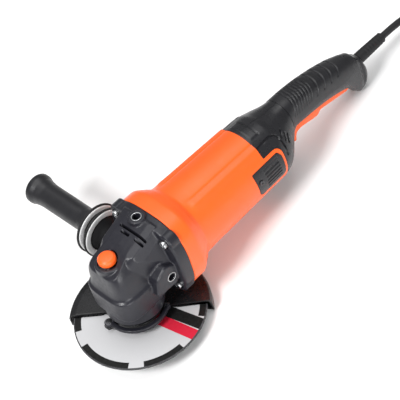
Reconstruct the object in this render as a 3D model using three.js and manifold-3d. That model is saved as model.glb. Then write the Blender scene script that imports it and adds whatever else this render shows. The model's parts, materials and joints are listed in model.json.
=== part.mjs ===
// Angle grinder for 150 mm wheels with a bar-type rear handle: paddle trigger, tool-free wheel guard,
// vibration-damped side handle, and a universal motor that drives the spindle through bevel gears.
//
// Units are millimetres. Most of the machine is laid out in the tool frame: the origin is the centre of
// the wheel's upper face, +Z runs up the spindle away from the wheel, +X runs back along the motor to the
// tail, and +Y points out along the side handle. The finished tool is then tipped back until the guard's
// rim and the handle's heel both stand on the bench, which is z = 0.

import * as THREE from 'three';
import { mergeVertices } from 'three/addons/utils/BufferGeometryUtils.js';
import { LoftGeometry } from 'three/addons/geometries/LoftGeometry.js';
import Module from 'manifold-3d';

const wasm = await Module();
wasm.setup();

// ---------------------------------------------------------------- driving dimensions

const GAP = 0.3; // clearance between pieces that touch or slide
const QUARTER = Math.PI / 2;
const FULL_TURN = Math.PI * 2;

const WHEEL = { radius: 75, bore: 11.1, thickness: 2.2 };
const MOTOR_HEIGHT = 70; // motor axis above the wheel's upper face
const SPINDLE_RADIUS = 7; // M14 thread
const NECK = { radius: 26, bottom: 3, top: 21 }; // round neck that carries the guard
const RIM_HEIGHT = 35.5; // gear case's lower rim
const JOINT_FACE = 51; // plane where the gear case meets the motor housing

const GUARD = { radius: 80.5, wall: 2, rim: -12, plate: 3.6, from: -46, to: 132 };
const LEVER = { pivotRadius: 35.7, pivotAngle: 165, inner: 31, outer: 36, end: 305, bottom: 9.4, top: 13.6 };

const CROWN_TEETH = 37;
const PINION_TEETH = 11;
const CROWN_PITCH_RADIUS = 25;

const PLATEAU = { x: -12, z: 104, slope: 0.36 }; // sloping top face of the gear case
const BROW = { x: 7, slope: 0.5 }; // where the plateau turns down towards the front of the head
const ROOF = [[0, 0], [16, 0.5], [24, 3], [30, 15], [90, 230]]; // fall below the plateau, out from the middle
const BUTTON = { x: -12, radius: 10 };
const SIDE_BOSS = { x: 28.5, z: 64.5, face: 43.5 };
const TOP_BOSS = { x: 38, radius: 9.5, face: 124.6 };
const THREAD = { bore: 4.2, depth: 12 }; // tapped holes for the side handle
const CASE_SCREW = { y: 37, z: 33.5, centre: 72, shank: 2, head: 4.6, headTop: 34 };

const HOUSING_WALL = 3;
const HOUSING_SIDES = 24;
const HANDLE_WALL = 2.3;
const HOUSING_END = 188.7; // rear edge of the housing over the top and below
const FINGER = { end: 213, low: 44, high: 94, corner: 10 }; // side tongues of the housing
const BRUSH_X = 187;
const COMMUTATOR_RADIUS = 15.5;
const ARMATURE = { front: 98, rear: 143, radius: 25 };

const TRIGGER = { halfWidth: 10, pivotX: 344, pivotZ: 55.5, trunnion: 2 };
const SWITCH = { front: 284, rear: 322, halfWidth: 8.5, bottom: 77, top: 93, plungerX: 292 };
const RELIEF = { z: 67, front: 362, flange: 9.2, end: 421, radius: 7.2, tip: 6.5 };

const CORD = { radius: 4.25, sides: 10 };

// ---------------------------------------------------------------- finishes

const finish = (color, roughness, metalness) => () =>
  new THREE.MeshStandardMaterial({ color, roughness, metalness });

const orangePlastic = finish(0xf2601f, 0.45, 0);
const blackPlastic = finish(0x26262a, 0.6, 0);
const blackRubber = finish(0x1d1d1f, 0.85, 0);
const castAlloy = finish(0x46464e, 0.55, 0.35);
const blackSteel = finish(0x1c1c1f, 0.4, 0.6);
const brightSteel = finish(0xb9bcc0, 0.3, 1);
const chrome = finish(0xe4e4e6, 0.12, 1);
const bearingSteel = finish(0x8f9296, 0.3, 1);
const laminatedSteel = finish(0x6d6f73, 0.5, 0.9);
const copper = finish(0xb36a3c, 0.35, 0.9);
const brass = finish(0xc9a24d, 0.35, 0.9);
const carbon = finish(0x2b2b2b, 0.9, 0);
const natural = finish(0xd8d2c2, 0.6, 0);
const abrasive = finish(0xc9c9c6, 0.9, 0);

// ---------------------------------------------------------------- solid modelling helpers

/** A closed geometry as a manifold, with its shared corners merged and its faces turned outwards. */
function toManifold(geometry) {
  const bare = new THREE.BufferGeometry().copy(geometry);
  bare.deleteAttribute('normal');
  bare.deleteAttribute('uv');
  const merged = mergeVertices(bare, 1e-4);
  const points = merged.getAttribute('position').array;
  const index = merged.getIndex().array;
  const triangles = [];
  let volume = 0;
  const corner = [new THREE.Vector3(), new THREE.Vector3(), new THREE.Vector3()];
  for (let i = 0; i < index.length; i += 3) {
    const [a, b, c] = [index[i], index[i + 1], index[i + 2]];
    if (a === b || b === c || c === a) continue;
    triangles.push(a, b, c);
    corner.forEach((p, k) => p.fromArray(points, 3 * index[i + k]));
    volume += corner[0].dot(corner[1].cross(corner[2]));
  }
  const triVerts = new Uint32Array(volume < 0 ? triangles.reverse() : triangles);
  return new wasm.Manifold(new wasm.Mesh({ numProp: 3, vertProperties: new Float32Array(points), triVerts }));
}

function fromManifold(manifold) {
  const mesh = manifold.getMesh();
  const geometry = new THREE.BufferGeometry();
  geometry.setAttribute('position', new THREE.BufferAttribute(mesh.vertProperties, 3));
  geometry.setIndex(new THREE.BufferAttribute(mesh.triVerts, 1));
  return geometry;
}

const join = (first, ...others) =>
  fromManifold(others.reduce((whole, part) => whole.add(toManifold(part)), toManifold(first)));

const cut = (first, ...others) =>
  fromManifold(others.reduce((whole, part) => whole.subtract(toManifold(part)), toManifold(first)));

const common = (first, second) => fromManifold(toManifold(first).intersect(toManifold(second)));

/** A solid turned about Z from [radius, z] points that start and end on the axis or close on themselves. */
function turned(profile, sides = 16) {
  const points = profile.map(([radius, z]) => new THREE.Vector2(radius, z));
  return new THREE.LatheGeometry(points, sides).rotateX(QUARTER);
}

const rod = (radius, from, to, sides = 10) =>
  turned([[0, from], [radius, from], [radius, to], [0, to]], sides);

const ring = (inner, outer, from, to, sides = 14) =>
  turned([[inner, from], [outer, from], [outer, to], [inner, to], [inner, from]], sides);

const alongX = (geometry) => geometry.rotateY(QUARTER);

const alongY = (geometry) => geometry.rotateX(-QUARTER);

/** A box from its lowest to its highest corner. */
function block([x0, y0, z0], [x1, y1, z1]) {
  return new THREE.BoxGeometry(x1 - x0, y1 - y0, z1 - z0)
    .translate((x0 + x1) / 2, (y0 + y1) / 2, (z0 + z1) / 2);
}

function outline(points) {
  return new THREE.Shape(points.map(([x, y]) => new THREE.Vector2(x, y)));
}

function plate(shape, from, to, curveSegments = 8) {
  const settings = { depth: to - from, bevelEnabled: false, curveSegments };
  return new THREE.ExtrudeGeometry(shape, settings).translate(0, 0, from);
}

/** A side view drawn in X and Z, as a slab between two values of Y. */
function slab(shape, from, to, curveSegments = 6) {
  return plate(shape, -to, -from, curveSegments).rotateX(QUARTER);
}

function roundedRectangle(x0, z0, x1, z1, corner) {
  const shape = new THREE.Shape();
  shape.moveTo(x0 + corner, z0);
  shape.lineTo(x1 - corner, z0);
  shape.absarc(x1 - corner, z0 + corner, corner, -QUARTER, 0);
  shape.absarc(x1 - corner, z1 - corner, corner, 0, QUARTER);
  shape.absarc(x0 + corner, z1 - corner, corner, QUARTER, Math.PI);
  shape.absarc(x0 + corner, z0 + corner, corner, Math.PI, Math.PI + QUARTER);
  return shape;
}

/** Points of a superellipse: power 2 is an ellipse, and higher powers are squarer. */
function superellipse(halfWidth, halfHeight, power, sides) {
  return Array.from({ length: sides }, (_, i) => {
    const angle = (FULL_TURN * i) / sides;
    const across = Math.sign(Math.cos(angle)) * Math.abs(Math.cos(angle)) ** (2 / power);
    const up = Math.sign(Math.sin(angle)) * Math.abs(Math.sin(angle)) ** (2 / power);
    return [halfWidth * across, halfHeight * up];
  });
}

/** A body lofted along X through stations {x, top, bottom, half, power}, drawn in by an inset. */
function bodyAlongX(stations, inset = 0, sides = 20) {
  const sections = stations.map(({ x, top, bottom, half, power }) => {
    const height = (top - bottom) / 2 - inset;
    const middle = (top + bottom) / 2;
    return superellipse(half - inset, height, power, sides)
      .map(([y, z]) => new THREE.Vector3(x, y, middle + z));
  });
  return new LoftGeometry(sections, { capStart: true, capEnd: true });
}

/** A body lofted up Z through stations {z, length, half, power}, centred on the spindle. */
function bodyUpZ(stations, sides = 20) {
  const sections = stations.map(({ z, length, half, power }) =>
    superellipse(length, half, power, sides).map(([x, y]) => new THREE.Vector3(x, y, z)));
  return new LoftGeometry(sections, { capStart: true, capEnd: true });
}

const degrees = THREE.MathUtils.degToRad;

/** A flat arc band about Z between two angles in degrees. */
function sector(inner, outer, from, to, low, high, curveSegments = 16) {
  const shape = new THREE.Shape();
  shape.absarc(0, 0, outer, degrees(from), degrees(to), false);
  shape.absarc(0, 0, inner, degrees(to), degrees(from), true);
  return plate(shape, low, high, curveSegments);
}

/** Copies of a geometry turned about Z, as one list. */
function around(count, make) {
  return Array.from({ length: count }, (_, i) => make().rotateZ((FULL_TURN * i) / count));
}

function piece(group, name, geometry, material) {
  const mesh = new THREE.Mesh(fromManifold(toManifold(geometry)), material());
  mesh.name = name;
  group.add(mesh);
  return mesh;
}

// ---------------------------------------------------------------- groups of the tool frame

const grinder = new THREE.Group();
const tool = new THREE.Group();
grinder.add(tool);

const motorLine = new THREE.Group(); // local +Z runs back along the motor axis
motorLine.position.z = MOTOR_HEIGHT;
motorLine.rotation.y = QUARTER;
tool.add(motorLine);

const sideHandle = new THREE.Group(); // local +Z runs out along the side handle
sideHandle.position.set(SIDE_BOSS.x, 0, SIDE_BOSS.z);
sideHandle.rotation.x = -QUARTER;
tool.add(sideHandle);

// ---------------------------------------------------------------- gear head

const plateauHeight = (x) => PLATEAU.z + PLATEAU.slope * (x - PLATEAU.x);

const screwCorners = [-1, 1].flatMap((side) =>
  [-1, 1].map((level) => [side * CASE_SCREW.y, CASE_SCREW.centre + level * CASE_SCREW.z]));

const bearing = { ball: { bore: 7.5, radius: 17.5, bottom: 11.3, height: 11 },
  needle: { bore: 4, radius: 7, bottom: 74, height: 10 },
  front: { bore: 6, radius: 14, from: 37.5, to: 45.5 },
  rear: { bore: 4, radius: 11, from: 203.6, to: 210.6 } };

const REACH = 90; // beyond the gear case on every side

/** Everything above the roof that falls away from the plateau on one side. */
function aboveRoof(side) {
  const section = [...ROOF.map(([out, fall]) => [out, -fall]), [REACH, REACH], [0, REACH]];
  const wedge = plate(outline(section.map(([out, z]) => [side * out, z])), -REACH, REACH)
    .rotateX(QUARTER).rotateZ(QUARTER);
  const alongSlope = new THREE.Matrix4().makeShear(0, PLATEAU.slope, 0, 0, 0, 0);
  return wedge.applyMatrix4(alongSlope).translate(0, 0, plateauHeight(0));
}

/** Everything above the steeper fall from the plateau to the front of the head. */
function aboveBrow() {
  const height = plateauHeight(BROW.x);
  return slab(outline([
    [-REACH, height - BROW.slope * (BROW.x + REACH)], [BROW.x, height], [BROW.x, 2 * REACH],
    [-REACH, 2 * REACH]
  ]), -REACH, REACH);
}

function gearCase() {
  const head = bodyUpZ([
    { z: RIM_HEIGHT, length: 33.3, half: 33.3, power: 3.9 },
    { z: RIM_HEIGHT + 1.2, length: 34.5, half: 34.2, power: 3.9 },
    { z: 64, length: 34.5, half: 34, power: 3.9 },
    { z: 66.5, length: 31.5, half: 31.2, power: 4 },
    { z: 72, length: 29.8, half: 29.2, power: 4.4 },
    { z: 84, length: 28, half: 27.6, power: 5 },
    { z: 97, length: 26.4, half: 26, power: 5 },
    { z: 112, length: 24, half: 24, power: 5 }
  ], 28);
  const tunnel = bodyAlongX([
    { x: -4, top: 106, bottom: 36, half: 25, power: 4.5 },
    { x: 9, top: 114, bottom: 36, half: 29.5, power: 5 },
    { x: 22, top: 121, bottom: 35, half: 33, power: 5 },
    { x: 30, top: 122, bottom: 31, half: 36, power: 4.6 },
    { x: 42, top: 122, bottom: 26, half: 42, power: 3.6 }
  ]);
  const flange = bodyAlongX([
    { x: 36.5, top: 117, bottom: 24, half: 48, power: 2.9 },
    { x: 39, top: 120.5, bottom: 20, half: 52, power: 2.9 },
    { x: JOINT_FACE - GAP, top: 121, bottom: 19, half: 52.5, power: 2.9 }
  ]);
  const collar = rod(BUTTON.radius + 4.6, 85, plateauHeight(BUTTON.x - 14), 16).translate(BUTTON.x, 0, 0);
  const lobes = screwCorners.map(([y, z]) =>
    alongX(rod(10.6, CASE_SCREW.headTop + 4.2, JOINT_FACE - GAP, 16)).translate(0, y, z));
  const topBoss = rod(TOP_BOSS.radius, 100, TOP_BOSS.face).translate(TOP_BOSS.x, 0, 0);
  const pad = outline([[5, 52], [33, 50], [40, 58], [40, 76], [24, 86], [10, 74]]);
  const sidePads = [slab(pad, 20, SIDE_BOSS.face), slab(pad, -SIDE_BOSS.face, -20)];
  const top = cut(join(head, tunnel), aboveRoof(-1), aboveRoof(1), aboveBrow());
  const outside = join(top, collar, flange, topBoss, ...lobes, ...sidePads);

  const chamber = turned([
    [0, 20], [30, 20], [30, 41], [28.8, 41], [28.8, 65], [23, 67.5], [21, 80], [14, 89], [0, 89]
  ], 24);
  const tunnelBore = alongX(rod(11.5, 0, 38, 16)).translate(0, 0, MOTOR_HEIGHT);
  const bearingSeat = alongX(rod(bearing.front.radius + GAP, bearing.front.from - GAP, 60, 20))
    .translate(0, 0, MOTOR_HEIGHT);
  const hollow = cut(outside, chamber, tunnelBore, bearingSeat);

  const needleSeat = ring(bearing.needle.radius + GAP, 9, bearing.needle.bottom, 92, 14);
  const needleRoof = rod(9, bearing.needle.bottom + bearing.needle.height + 2.5, 92);
  const springTower = rod(9, 86, PLATEAU.z - 6.8).translate(BUTTON.x, 0, 0);
  const recess = rod(BUTTON.radius + 3, PLATEAU.z - 6.8, 120, 16).translate(BUTTON.x, 0, 0);
  const springWell = rod(6.5, 87, 120).translate(BUTTON.x, 0, 0);
  const pinHole = rod(2.9, 60, 120, 16).translate(BUTTON.x, 0, 0);
  const topThread = rod(THREAD.bore, TOP_BOSS.face - THREAD.depth, 140).translate(TOP_BOSS.x, 0, 0);
  const sideThreads = [-1, 1].map((side) =>
    alongY(rod(THREAD.bore, side * (SIDE_BOSS.face - THREAD.depth), side * 60))
      .translate(SIDE_BOSS.x, 0, SIDE_BOSS.z));
  const screwPockets = screwCorners.map(([y, z]) =>
    alongX(rod(CASE_SCREW.head + 1.6, 20, CASE_SCREW.headTop + 4.2)).translate(0, y, z));
  const screwHoles = screwCorners.map(([y, z]) =>
    alongX(rod(CASE_SCREW.shank + GAP, 20, 60, 6)).translate(0, y, z));
  const ventSlots = [
    { x: 24.5, from: -25, to: 14 },
    { x: 19.5, from: -25, to: -12 },
    { x: 19.5, from: -5, to: 8 }
  ].map(({ x, from, to }) =>
    block([x - 1.4, from, plateauHeight(x) - 14], [x + 1.4, to, plateauHeight(x) + 6]));
  const neckRoom = rod(34.2, 0, RIM_HEIGHT, 24);
  return cut(join(hollow, needleSeat, needleRoof, springTower), neckRoom, recess, springWell, pinHole,
    topThread, ...sideThreads, ...screwPockets, ...screwHoles, ...ventSlots);
}

function gearCaseScrew([y, z]) {
  const screw = join(rod(CASE_SCREW.head, 0, 3.9), rod(CASE_SCREW.shank, 3.5, 30, 6));
  return alongX(cut(screw, rod(1.8, -1, 1.8, 6))).translate(CASE_SCREW.headTop, y, z);
}

function bearingFlange() {
  const plateTop = RIM_HEIGHT - GAP;
  return turned([
    [13.4, NECK.bottom], [NECK.radius, NECK.bottom], [NECK.radius, NECK.top], [33.4, NECK.top],
    [33.4, plateTop], [29.5, plateTop], [29.5, plateTop + 4], [bearing.ball.radius + GAP, plateTop + 4],
    [bearing.ball.radius + GAP, 11], [13.4, 11], [13.4, NECK.bottom]
  ], 24);
}

function lockButton() {
  const low = PLATEAU.z - 1.5;
  const { radius } = BUTTON;
  const profile = [
    [0, low - 5.3], [5.6, low - 5.3], [5.6, low], [radius, low], [radius, low + 4.5],
    [radius - 1, low + 6.3], [radius - 3.5, low + 7.6], [0, low + 8.2]
  ];
  return cut(turned(profile, 16), rod(2.8, low - 6, low + 3, 16)).translate(BUTTON.x, 0, 0);
}

const lockPin = () => rod(2.5, 56, PLATEAU.z + 1.2, 12).translate(BUTTON.x, 0, 0);

/** A coil spring about Z. */
function coilSpring(radius, wire, from, to, turns) {
  const steps = turns * 6;
  const points = Array.from({ length: steps + 1 }, (_, i) => {
    const angle = (FULL_TURN * turns * i) / steps;
    const z = from + wire + ((to - from - 2 * wire) * i) / steps;
    return new THREE.Vector3(radius * Math.cos(angle), radius * Math.sin(angle), z);
  });
  const section = new THREE.Shape().absarc(0, 0, wire, 0, FULL_TURN);
  const path = new THREE.CatmullRomCurve3(points);
  const settings = { steps, curveSegments: 2, extrudePath: path, bevelEnabled: false };
  return new THREE.ExtrudeGeometry(section, settings);
}

const lockSpring = () => coilSpring(4.6, 0.6, 87.3, PLATEAU.z - 7.1, 4).translate(BUTTON.x, 0, 0);

// ---------------------------------------------------------------- spindle, gears and wheel

function spindle() {
  const shoulder = 8.4;
  return turned([
    [0, -14], [SPINDLE_RADIUS - 0.8, -14], [SPINDLE_RADIUS, -13], [SPINDLE_RADIUS, shoulder], [9.5, shoulder],
    [9.5, 11], [bearing.ball.bore, 11], [bearing.ball.bore, 37], [SPINDLE_RADIUS, 37], [SPINDLE_RADIUS, 58],
    [bearing.needle.bore, 58], [bearing.needle.bore, 85], [0, 85]
  ], 14);
}

const gearSlope = PINION_TEETH / CROWN_TEETH; // fall of the pitch cone for each millimetre of radius

/** One tooth of the crown gear: a wedge that narrows towards the axis, where the two shafts' lines meet. */
function crownTooth() {
  const sections = [17.6, 27].map((radius) => {
    const scale = radius / CROWN_PITCH_RADIUS;
    const pitchHeight = MOTOR_HEIGHT - radius * gearSlope;
    return [[-1, -1.9], [1, -1.9], [0.45, 1.1], [-0.45, 1.1]]
      .map(([side, height]) => new THREE.Vector3(radius, side * scale, pitchHeight + height * scale));
  });
  return new LoftGeometry(sections, { capStart: true, capEnd: true });
}

function crownGear() {
  const root = (radius) => MOTOR_HEIGHT - radius * gearSlope - 1.6 * radius / CROWN_PITCH_RADIUS;
  const bore = SPINDLE_RADIUS + GAP;
  const body = turned([
    [bore, 40], [13, 40], [14.5, 47], [27.3, 53], [27.3, root(27.3)], [17, root(17)], [16.4, 55], [bore, 55],
    [bore, 40]
  ], 24);
  const lockHoles = around(8, () => rod(3.2, 48.5, 60, 6).translate(-BUTTON.x, 0, 0));
  return join(cut(body, ...lockHoles), ...around(CROWN_TEETH, crownTooth));
}

/** The bevel pinion about its own axis. A gap between two of its teeth faces the crown gear. */
function pinion() {
  const pitchRadius = CROWN_PITCH_RADIUS * gearSlope;
  const sections = [17.8, 27.6].map((distance) => {
    const scale = distance / CROWN_PITCH_RADIUS;
    return Array.from({ length: PINION_TEETH }, (_, i) => {
      const middle = (FULL_TURN * (i + 0.5)) / PINION_TEETH;
      const tooth = [[-0.17, pitchRadius - 1.5], [-0.055, pitchRadius + 0.95],
        [0.055, pitchRadius + 0.95], [0.17, pitchRadius - 1.5]];
      return tooth.map(([turn, radius]) => new THREE.Vector3(scale * radius, 0, distance)
        .applyAxisAngle(new THREE.Vector3(0, 0, 1), middle + turn));
    }).flat();
  });
  const toothed = new LoftGeometry(sections, { capStart: true, capEnd: true });
  return cut(join(toothed, rod(7.2, 27.4, 31.5)), rod(3.7, 10, 40, 20));
}

function innerFlange() {
  const top = 8.1;
  const bore = SPINDLE_RADIUS + GAP;
  return turned([
    [bore, -1.4], [WHEEL.bore - GAP, -1.4], [WHEEL.bore - GAP, GAP], [20.5, GAP], [20.5, 2.5], [12, 2.5],
    [12, top], [bore, top], [bore, -1.4]
  ], 16);
}

function lockNut() {
  const top = -WHEEL.thickness - GAP;
  const bore = SPINDLE_RADIUS + GAP;
  const body = turned([
    [bore, top], [20, top], [20, top - 3.5], [17, top - 6.5], [bore, top - 6.5], [bore, top]
  ], 16);
  const spannerHoles = around(4, () => rod(2.5, top - 8, top - 3, 8).translate(14, 0, 0));
  return cut(body, ...spannerHoles);
}

// ---------------------------------------------------------------- wheel guard and its lever

const leverPivot = [
  LEVER.pivotRadius * Math.cos(degrees(LEVER.pivotAngle)),
  LEVER.pivotRadius * Math.sin(degrees(LEVER.pivotAngle))
];

function wheelGuard() {
  const { radius, wall, rim, plate: level, from, to } = GUARD;
  const top = sector(NECK.radius + 1, radius - 1, from, to, level, level + wall, 18);
  const skirt = sector(radius - wall, radius, from, to, rim, level + wall - 1, 18);
  const band = ring(NECK.radius + GAP, NECK.radius + 3, level, 14, 24);
  const ear = plate(outline([[-25, 14], [-25, 3], [-33, 3], [-40, 6], [-40, 13], [-35, 15]]), 6, 9);
  const rivetHole = rod(1.8, 0, 20, 12).translate(leverPivot[0], leverPivot[1], 0);
  const clearance = rod(NECK.radius + GAP, -20, 40, 24);
  return cut(join(top, skirt, band, ear), clearance, rivetHole);
}

function guardLever() {
  const { inner, outer, pivotAngle, end, bottom, top } = LEVER;
  const arm = sector(inner, outer, pivotAngle, end, bottom, top, 12);
  const eye = rod(5, bottom, top, 12).translate(leverPivot[0], leverPivot[1], 0);
  const tipRadius = (inner + outer) / 2;
  const tip = rod((outer - inner) / 2 + 0.6, bottom - 1, top, 10)
    .translate(tipRadius * Math.cos(degrees(end)), tipRadius * Math.sin(degrees(end)), 0);
  const rivetHole = rod(1.8, 0, 20, 12).translate(leverPivot[0], leverPivot[1], 0);
  return cut(join(arm, eye, tip), rivetHole);
}

function leverRivet() {
  const { bottom, top } = LEVER;
  return join(rod(3.2, top + GAP, top + 1.6, 10), rod(1.5, 5, top + 1, 8), rod(3, 4.4, 5.7, 10))
    .translate(leverPivot[0], leverPivot[1], 0);
}

// ---------------------------------------------------------------- motor housing and motor

const housingStations = [
  { x: JOINT_FACE, top: 121, bottom: 19, half: 52.5, power: 2.9 },
  { x: 66, top: 120.5, bottom: 19, half: 52.2, power: 2.9 },
  { x: 76, top: 117.5, bottom: 22.5, half: 48.5, power: 2.5 },
  { x: 84, top: 115, bottom: 25.4, half: 45, power: 2.1 },
  { x: 100, top: 114.3, bottom: 25.7, half: 44.3, power: 2 },
  { x: 150, top: 113.3, bottom: 26.7, half: 43.3, power: 2 },
  { x: 190, top: 112.4, bottom: 27.6, half: 42.4, power: 2 },
  { x: FINGER.end, top: 111.9, bottom: 28.1, half: 41.9, power: 2 }
];

const stretched = (stations, by) => stations.map((station, i) => {
  const shift = i === 0 ? -by : i === stations.length - 1 ? by : 0;
  return { ...station, x: station.x + shift };
});

/** Side tongue region of the housing, grown by a margin. */
function fingerRegion(margin) {
  const { end, low, high, corner } = FINGER;
  return slab(roundedRectangle(150, low - margin, end + margin, high + margin, corner), -60, 60);
}

/** Outline of a brush cover seen from the side, grown by a margin. */
const coverOutline = (margin) => outline([
  [166 - margin, 90 + margin], [206 + margin, 90 + margin], [209.6 + margin, 84], [209.6 + margin, 60],
  [206, 57 - margin], [172, 57 - margin], [168 - margin, 61]
]);

const brushPlaces = [-1, 1];

const COVER_SCREW = { x: 172.5, z: 76 };

const coverScrewHoles = () => alongY(rod(1.7, -60, 60, 6)).translate(COVER_SCREW.x, 0, COVER_SCREW.z);

function motorHousing() {
  const outer = bodyAlongX(housingStations, 0, HOUSING_SIDES);
  const inner = bodyAlongX(stretched(housingStations, 1), HOUSING_WALL, HOUSING_SIDES);
  const kept = join(block([40, -60, 0], [HOUSING_END, 60, 140]), fingerRegion(0));
  const shell = common(cut(outer, inner), kept);
  const corner = bodyAlongX(housingStations, 0.4, HOUSING_SIDES);
  const bosses = screwCorners.map(([y, z]) =>
    common(alongX(rod(5.4, JOINT_FACE, 70)).translate(0, y, z), corner));
  const screwHoles = screwCorners.map(([y, z]) =>
    alongX(rod(CASE_SCREW.shank + GAP, 40, 66, 8)).translate(0, y, z));
  const disc = (radius) => alongX(rod(radius, 200, 203, HOUSING_SIDES)).translate(0, 0, MOTOR_HEIGHT);
  const wall = join(disc(38.8), common(disc(41), fingerRegion(0)));
  const seat = alongX(rod(14.6, 200, 212)).translate(0, 0, MOTOR_HEIGHT);
  const seatBore = alongX(rod(bearing.rear.radius + GAP, bearing.rear.from - GAP, 220, 20))
    .translate(0, 0, MOTOR_HEIGHT);
  const shaftHole = alongX(rod(8, 190, 220)).translate(0, 0, MOTOR_HEIGHT);
  const airHoles = Array.from({ length: 8 }, (_, i) => alongX(rod(6, 195, 208, 8).translate(26, 0, 0)
    .rotateZ((FULL_TURN * (i + 0.5)) / 8)).translate(0, 0, MOTOR_HEIGHT));
  const coverPockets = brushPlaces.map((side) => cut(
    slab(coverOutline(GAP), side < 0 ? -60 : 20, side < 0 ? -20 : 60),
    bodyAlongX(housingStations, 2, HOUSING_SIDES)));
  const brushWindows = brushPlaces.map((side) =>
    block([BRUSH_X - 8, side < 0 ? -50 : 30, 66], [BRUSH_X + 8, side < 0 ? -30 : 50, 84]));
  return cut(join(shell, wall, seat, ...bosses), seatBore, shaftHole, ...screwHoles, ...airHoles,
    ...coverPockets, ...brushWindows, coverScrewHoles());
}

function brushCover(side) {
  const outer = bodyAlongX(housingStations, -0.3, HOUSING_SIDES);
  const skin = cut(outer, bodyAlongX(housingStations, 1.7, HOUSING_SIDES));
  const panel = common(skin, slab(coverOutline(0), side < 0 ? -60 : 20, side < 0 ? -20 : 60));
  return cut(panel, coverScrewHoles());
}

function brushCoverScrew(side) {
  const head = rod(3, 42.9, 44.4);
  const shank = rod(1.4, 32, 43, 6);
  return mirrored(alongY(join(head, shank)).translate(COVER_SCREW.x, 0, COVER_SCREW.z), side);
}

function statorCore() {
  const { front, rear } = ARMATURE;
  const core = ring(ARMATURE.radius + 0.8, 40, front, rear, 28);
  const windows = around(4, () => block([27.5, -6, front - 5], [36, 6, rear + 5]).rotateZ(Math.PI / 4));
  return cut(core, ...windows);
}

/** A field coil: a leg in each of two windows of the core, joined by curved ends. */
function fieldCoil(turn) {
  const { front, rear } = ARMATURE;
  const legs = [-1, 1].map((side) =>
    block([28, -5.4, front - 6], [35.5, 5.4, rear + 6]).rotateZ((side * Math.PI) / 4));
  const ends = [front - 10, rear + 2].map((from) => sector(28, 35.5, -50, 50, from, from + 8, 4));
  return join(...legs, ...ends).rotateZ(turn);
}

function armatureShaft() {
  return turned([
    [0, 12], [3.4, 12], [3.4, 33], [5.7, 33], [5.7, 60], [6.5, 60], [6.5, 200], [3.7, 200], [3.7, 213],
    [0, 213]
  ], 12);
}

/** A round blank about Z with equal slots cut into its rim. */
function slotted(inner, outer, from, to, count, width, depth) {
  const slots = around(count, () =>
    block([outer - depth, -width / 2, from - 1], [outer + 1, width / 2, to + 1]));
  return cut(ring(inner, outer, from, to, count * 2), ...slots);
}

function armatureWinding() {
  const { front, rear, radius } = ARMATURE;
  const frontEnd = turned([
    [7, 86], [15, 86], [22.5, 91], [22.5, front - GAP], [7, front - GAP], [7, 86]
  ], 12);
  const rearEnd = turned([
    [7, rear + GAP], [22.5, rear + GAP], [22, 152], [13, 161], [7, 161], [7, rear + GAP]
  ], 12);
  const bars = around(12, () => block([radius - 8, -1.1, front - 1], [radius - 3, 1.1, rear + 1]));
  return join(frontEnd, rearEnd, ...bars);
}

function coolingFan() {
  const disc = ring(6.9, 39, 61, 63, 20);
  const hub = ring(6.9, 12, 61, 75, 12);
  const blades = around(9, () => block([15, -0.9, 62.5], [38, 0.9, 75]).rotateZ(0.2));
  return join(disc, hub, ...blades);
}

const ballBearing = ({ bore, radius }, from, to) => ring(bore + GAP, radius, from, to, 20);

const brushHeight = { low: 16, high: 31, holderEnd: 37.5 };

function brushHolder(side) {
  const { high, holderEnd } = brushHeight;
  const box = block([BRUSH_X - 6, 19, MOTOR_HEIGHT - 9], [BRUSH_X + 6, holderEnd, MOTOR_HEIGHT + 9]);
  const bore = block([BRUSH_X - 3.6, 10, MOTOR_HEIGHT - 6.6], [BRUSH_X + 3.6, high + 5, MOTOR_HEIGHT + 6.6]);
  return mirrored(cut(box, bore), side);
}

/** A carbon brush with its captive spring. */
function carbonBrush(side) {
  const { low, high } = brushHeight;
  const brush = block([BRUSH_X - 3.2, low, MOTOR_HEIGHT - 6.2], [BRUSH_X + 3.2, high, MOTOR_HEIGHT + 6.2]);
  const spring = alongY(coilSpring(2.4, 0.6, high - 0.8, high + 4.8, 3)).translate(BRUSH_X, 0, MOTOR_HEIGHT);
  return mirrored(join(brush, spring), side);
}

/** The geometry as it is for side +1, or its mirror image across the tool's middle plane for side -1. */
function mirrored(geometry, side) {
  return side > 0 ? geometry : geometry.scale(1, -1, 1);
}

// ---------------------------------------------------------------- rear handle

const handleStations = [
  { x: HOUSING_END + GAP, top: 112.4, bottom: 27.6, half: 42.4, power: 2 },
  { x: 213, top: 111.8, bottom: 28.4, half: 41.7, power: 2 },
  { x: 222, top: 109.6, bottom: 30, half: 39.6, power: 2 },
  { x: 231, top: 108.3, bottom: 35.5, half: 35.3, power: 2 },
  { x: 239, top: 107.8, bottom: 43, half: 29.3, power: 2 },
  { x: 246, top: 107.9, bottom: 52, half: 24, power: 2.1 },
  { x: 252, top: 108.1, bottom: 60.5, half: 20.5, power: 2.3 },
  { x: 260, top: 108.3, bottom: 66, half: 18.3, power: 2.6 },
  { x: 280, top: 107, bottom: 65, half: 17.6, power: 2.8 },
  { x: 300, top: 104, bottom: 63.5, half: 17.5, power: 2.8 },
  { x: 319, top: 100, bottom: 60.2, half: 17.3, power: 2.8 },
  { x: 338, top: 94.8, bottom: 55, half: 17, power: 2.8 },
  { x: 346, top: 92.3, bottom: 51, half: 16.6, power: 2.7 },
  { x: 353, top: 90.2, bottom: 43, half: 16, power: 2.6 },
  { x: 360, top: 88, bottom: 34, half: 15.3, power: 2.6 },
  { x: 366, top: 85.5, bottom: 28.6, half: 14.8, power: 2.6 },
  { x: 371, top: 81.5, bottom: 27.8, half: 14.4, power: 2.6 },
  { x: 375.5, top: 76, bottom: 31.5, half: 13.6, power: 2.5 },
  { x: 379, top: 68, bottom: 38.5, half: 12, power: 2.3 },
  { x: 381, top: 62, bottom: 45, half: 9, power: 2 }
];

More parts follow.
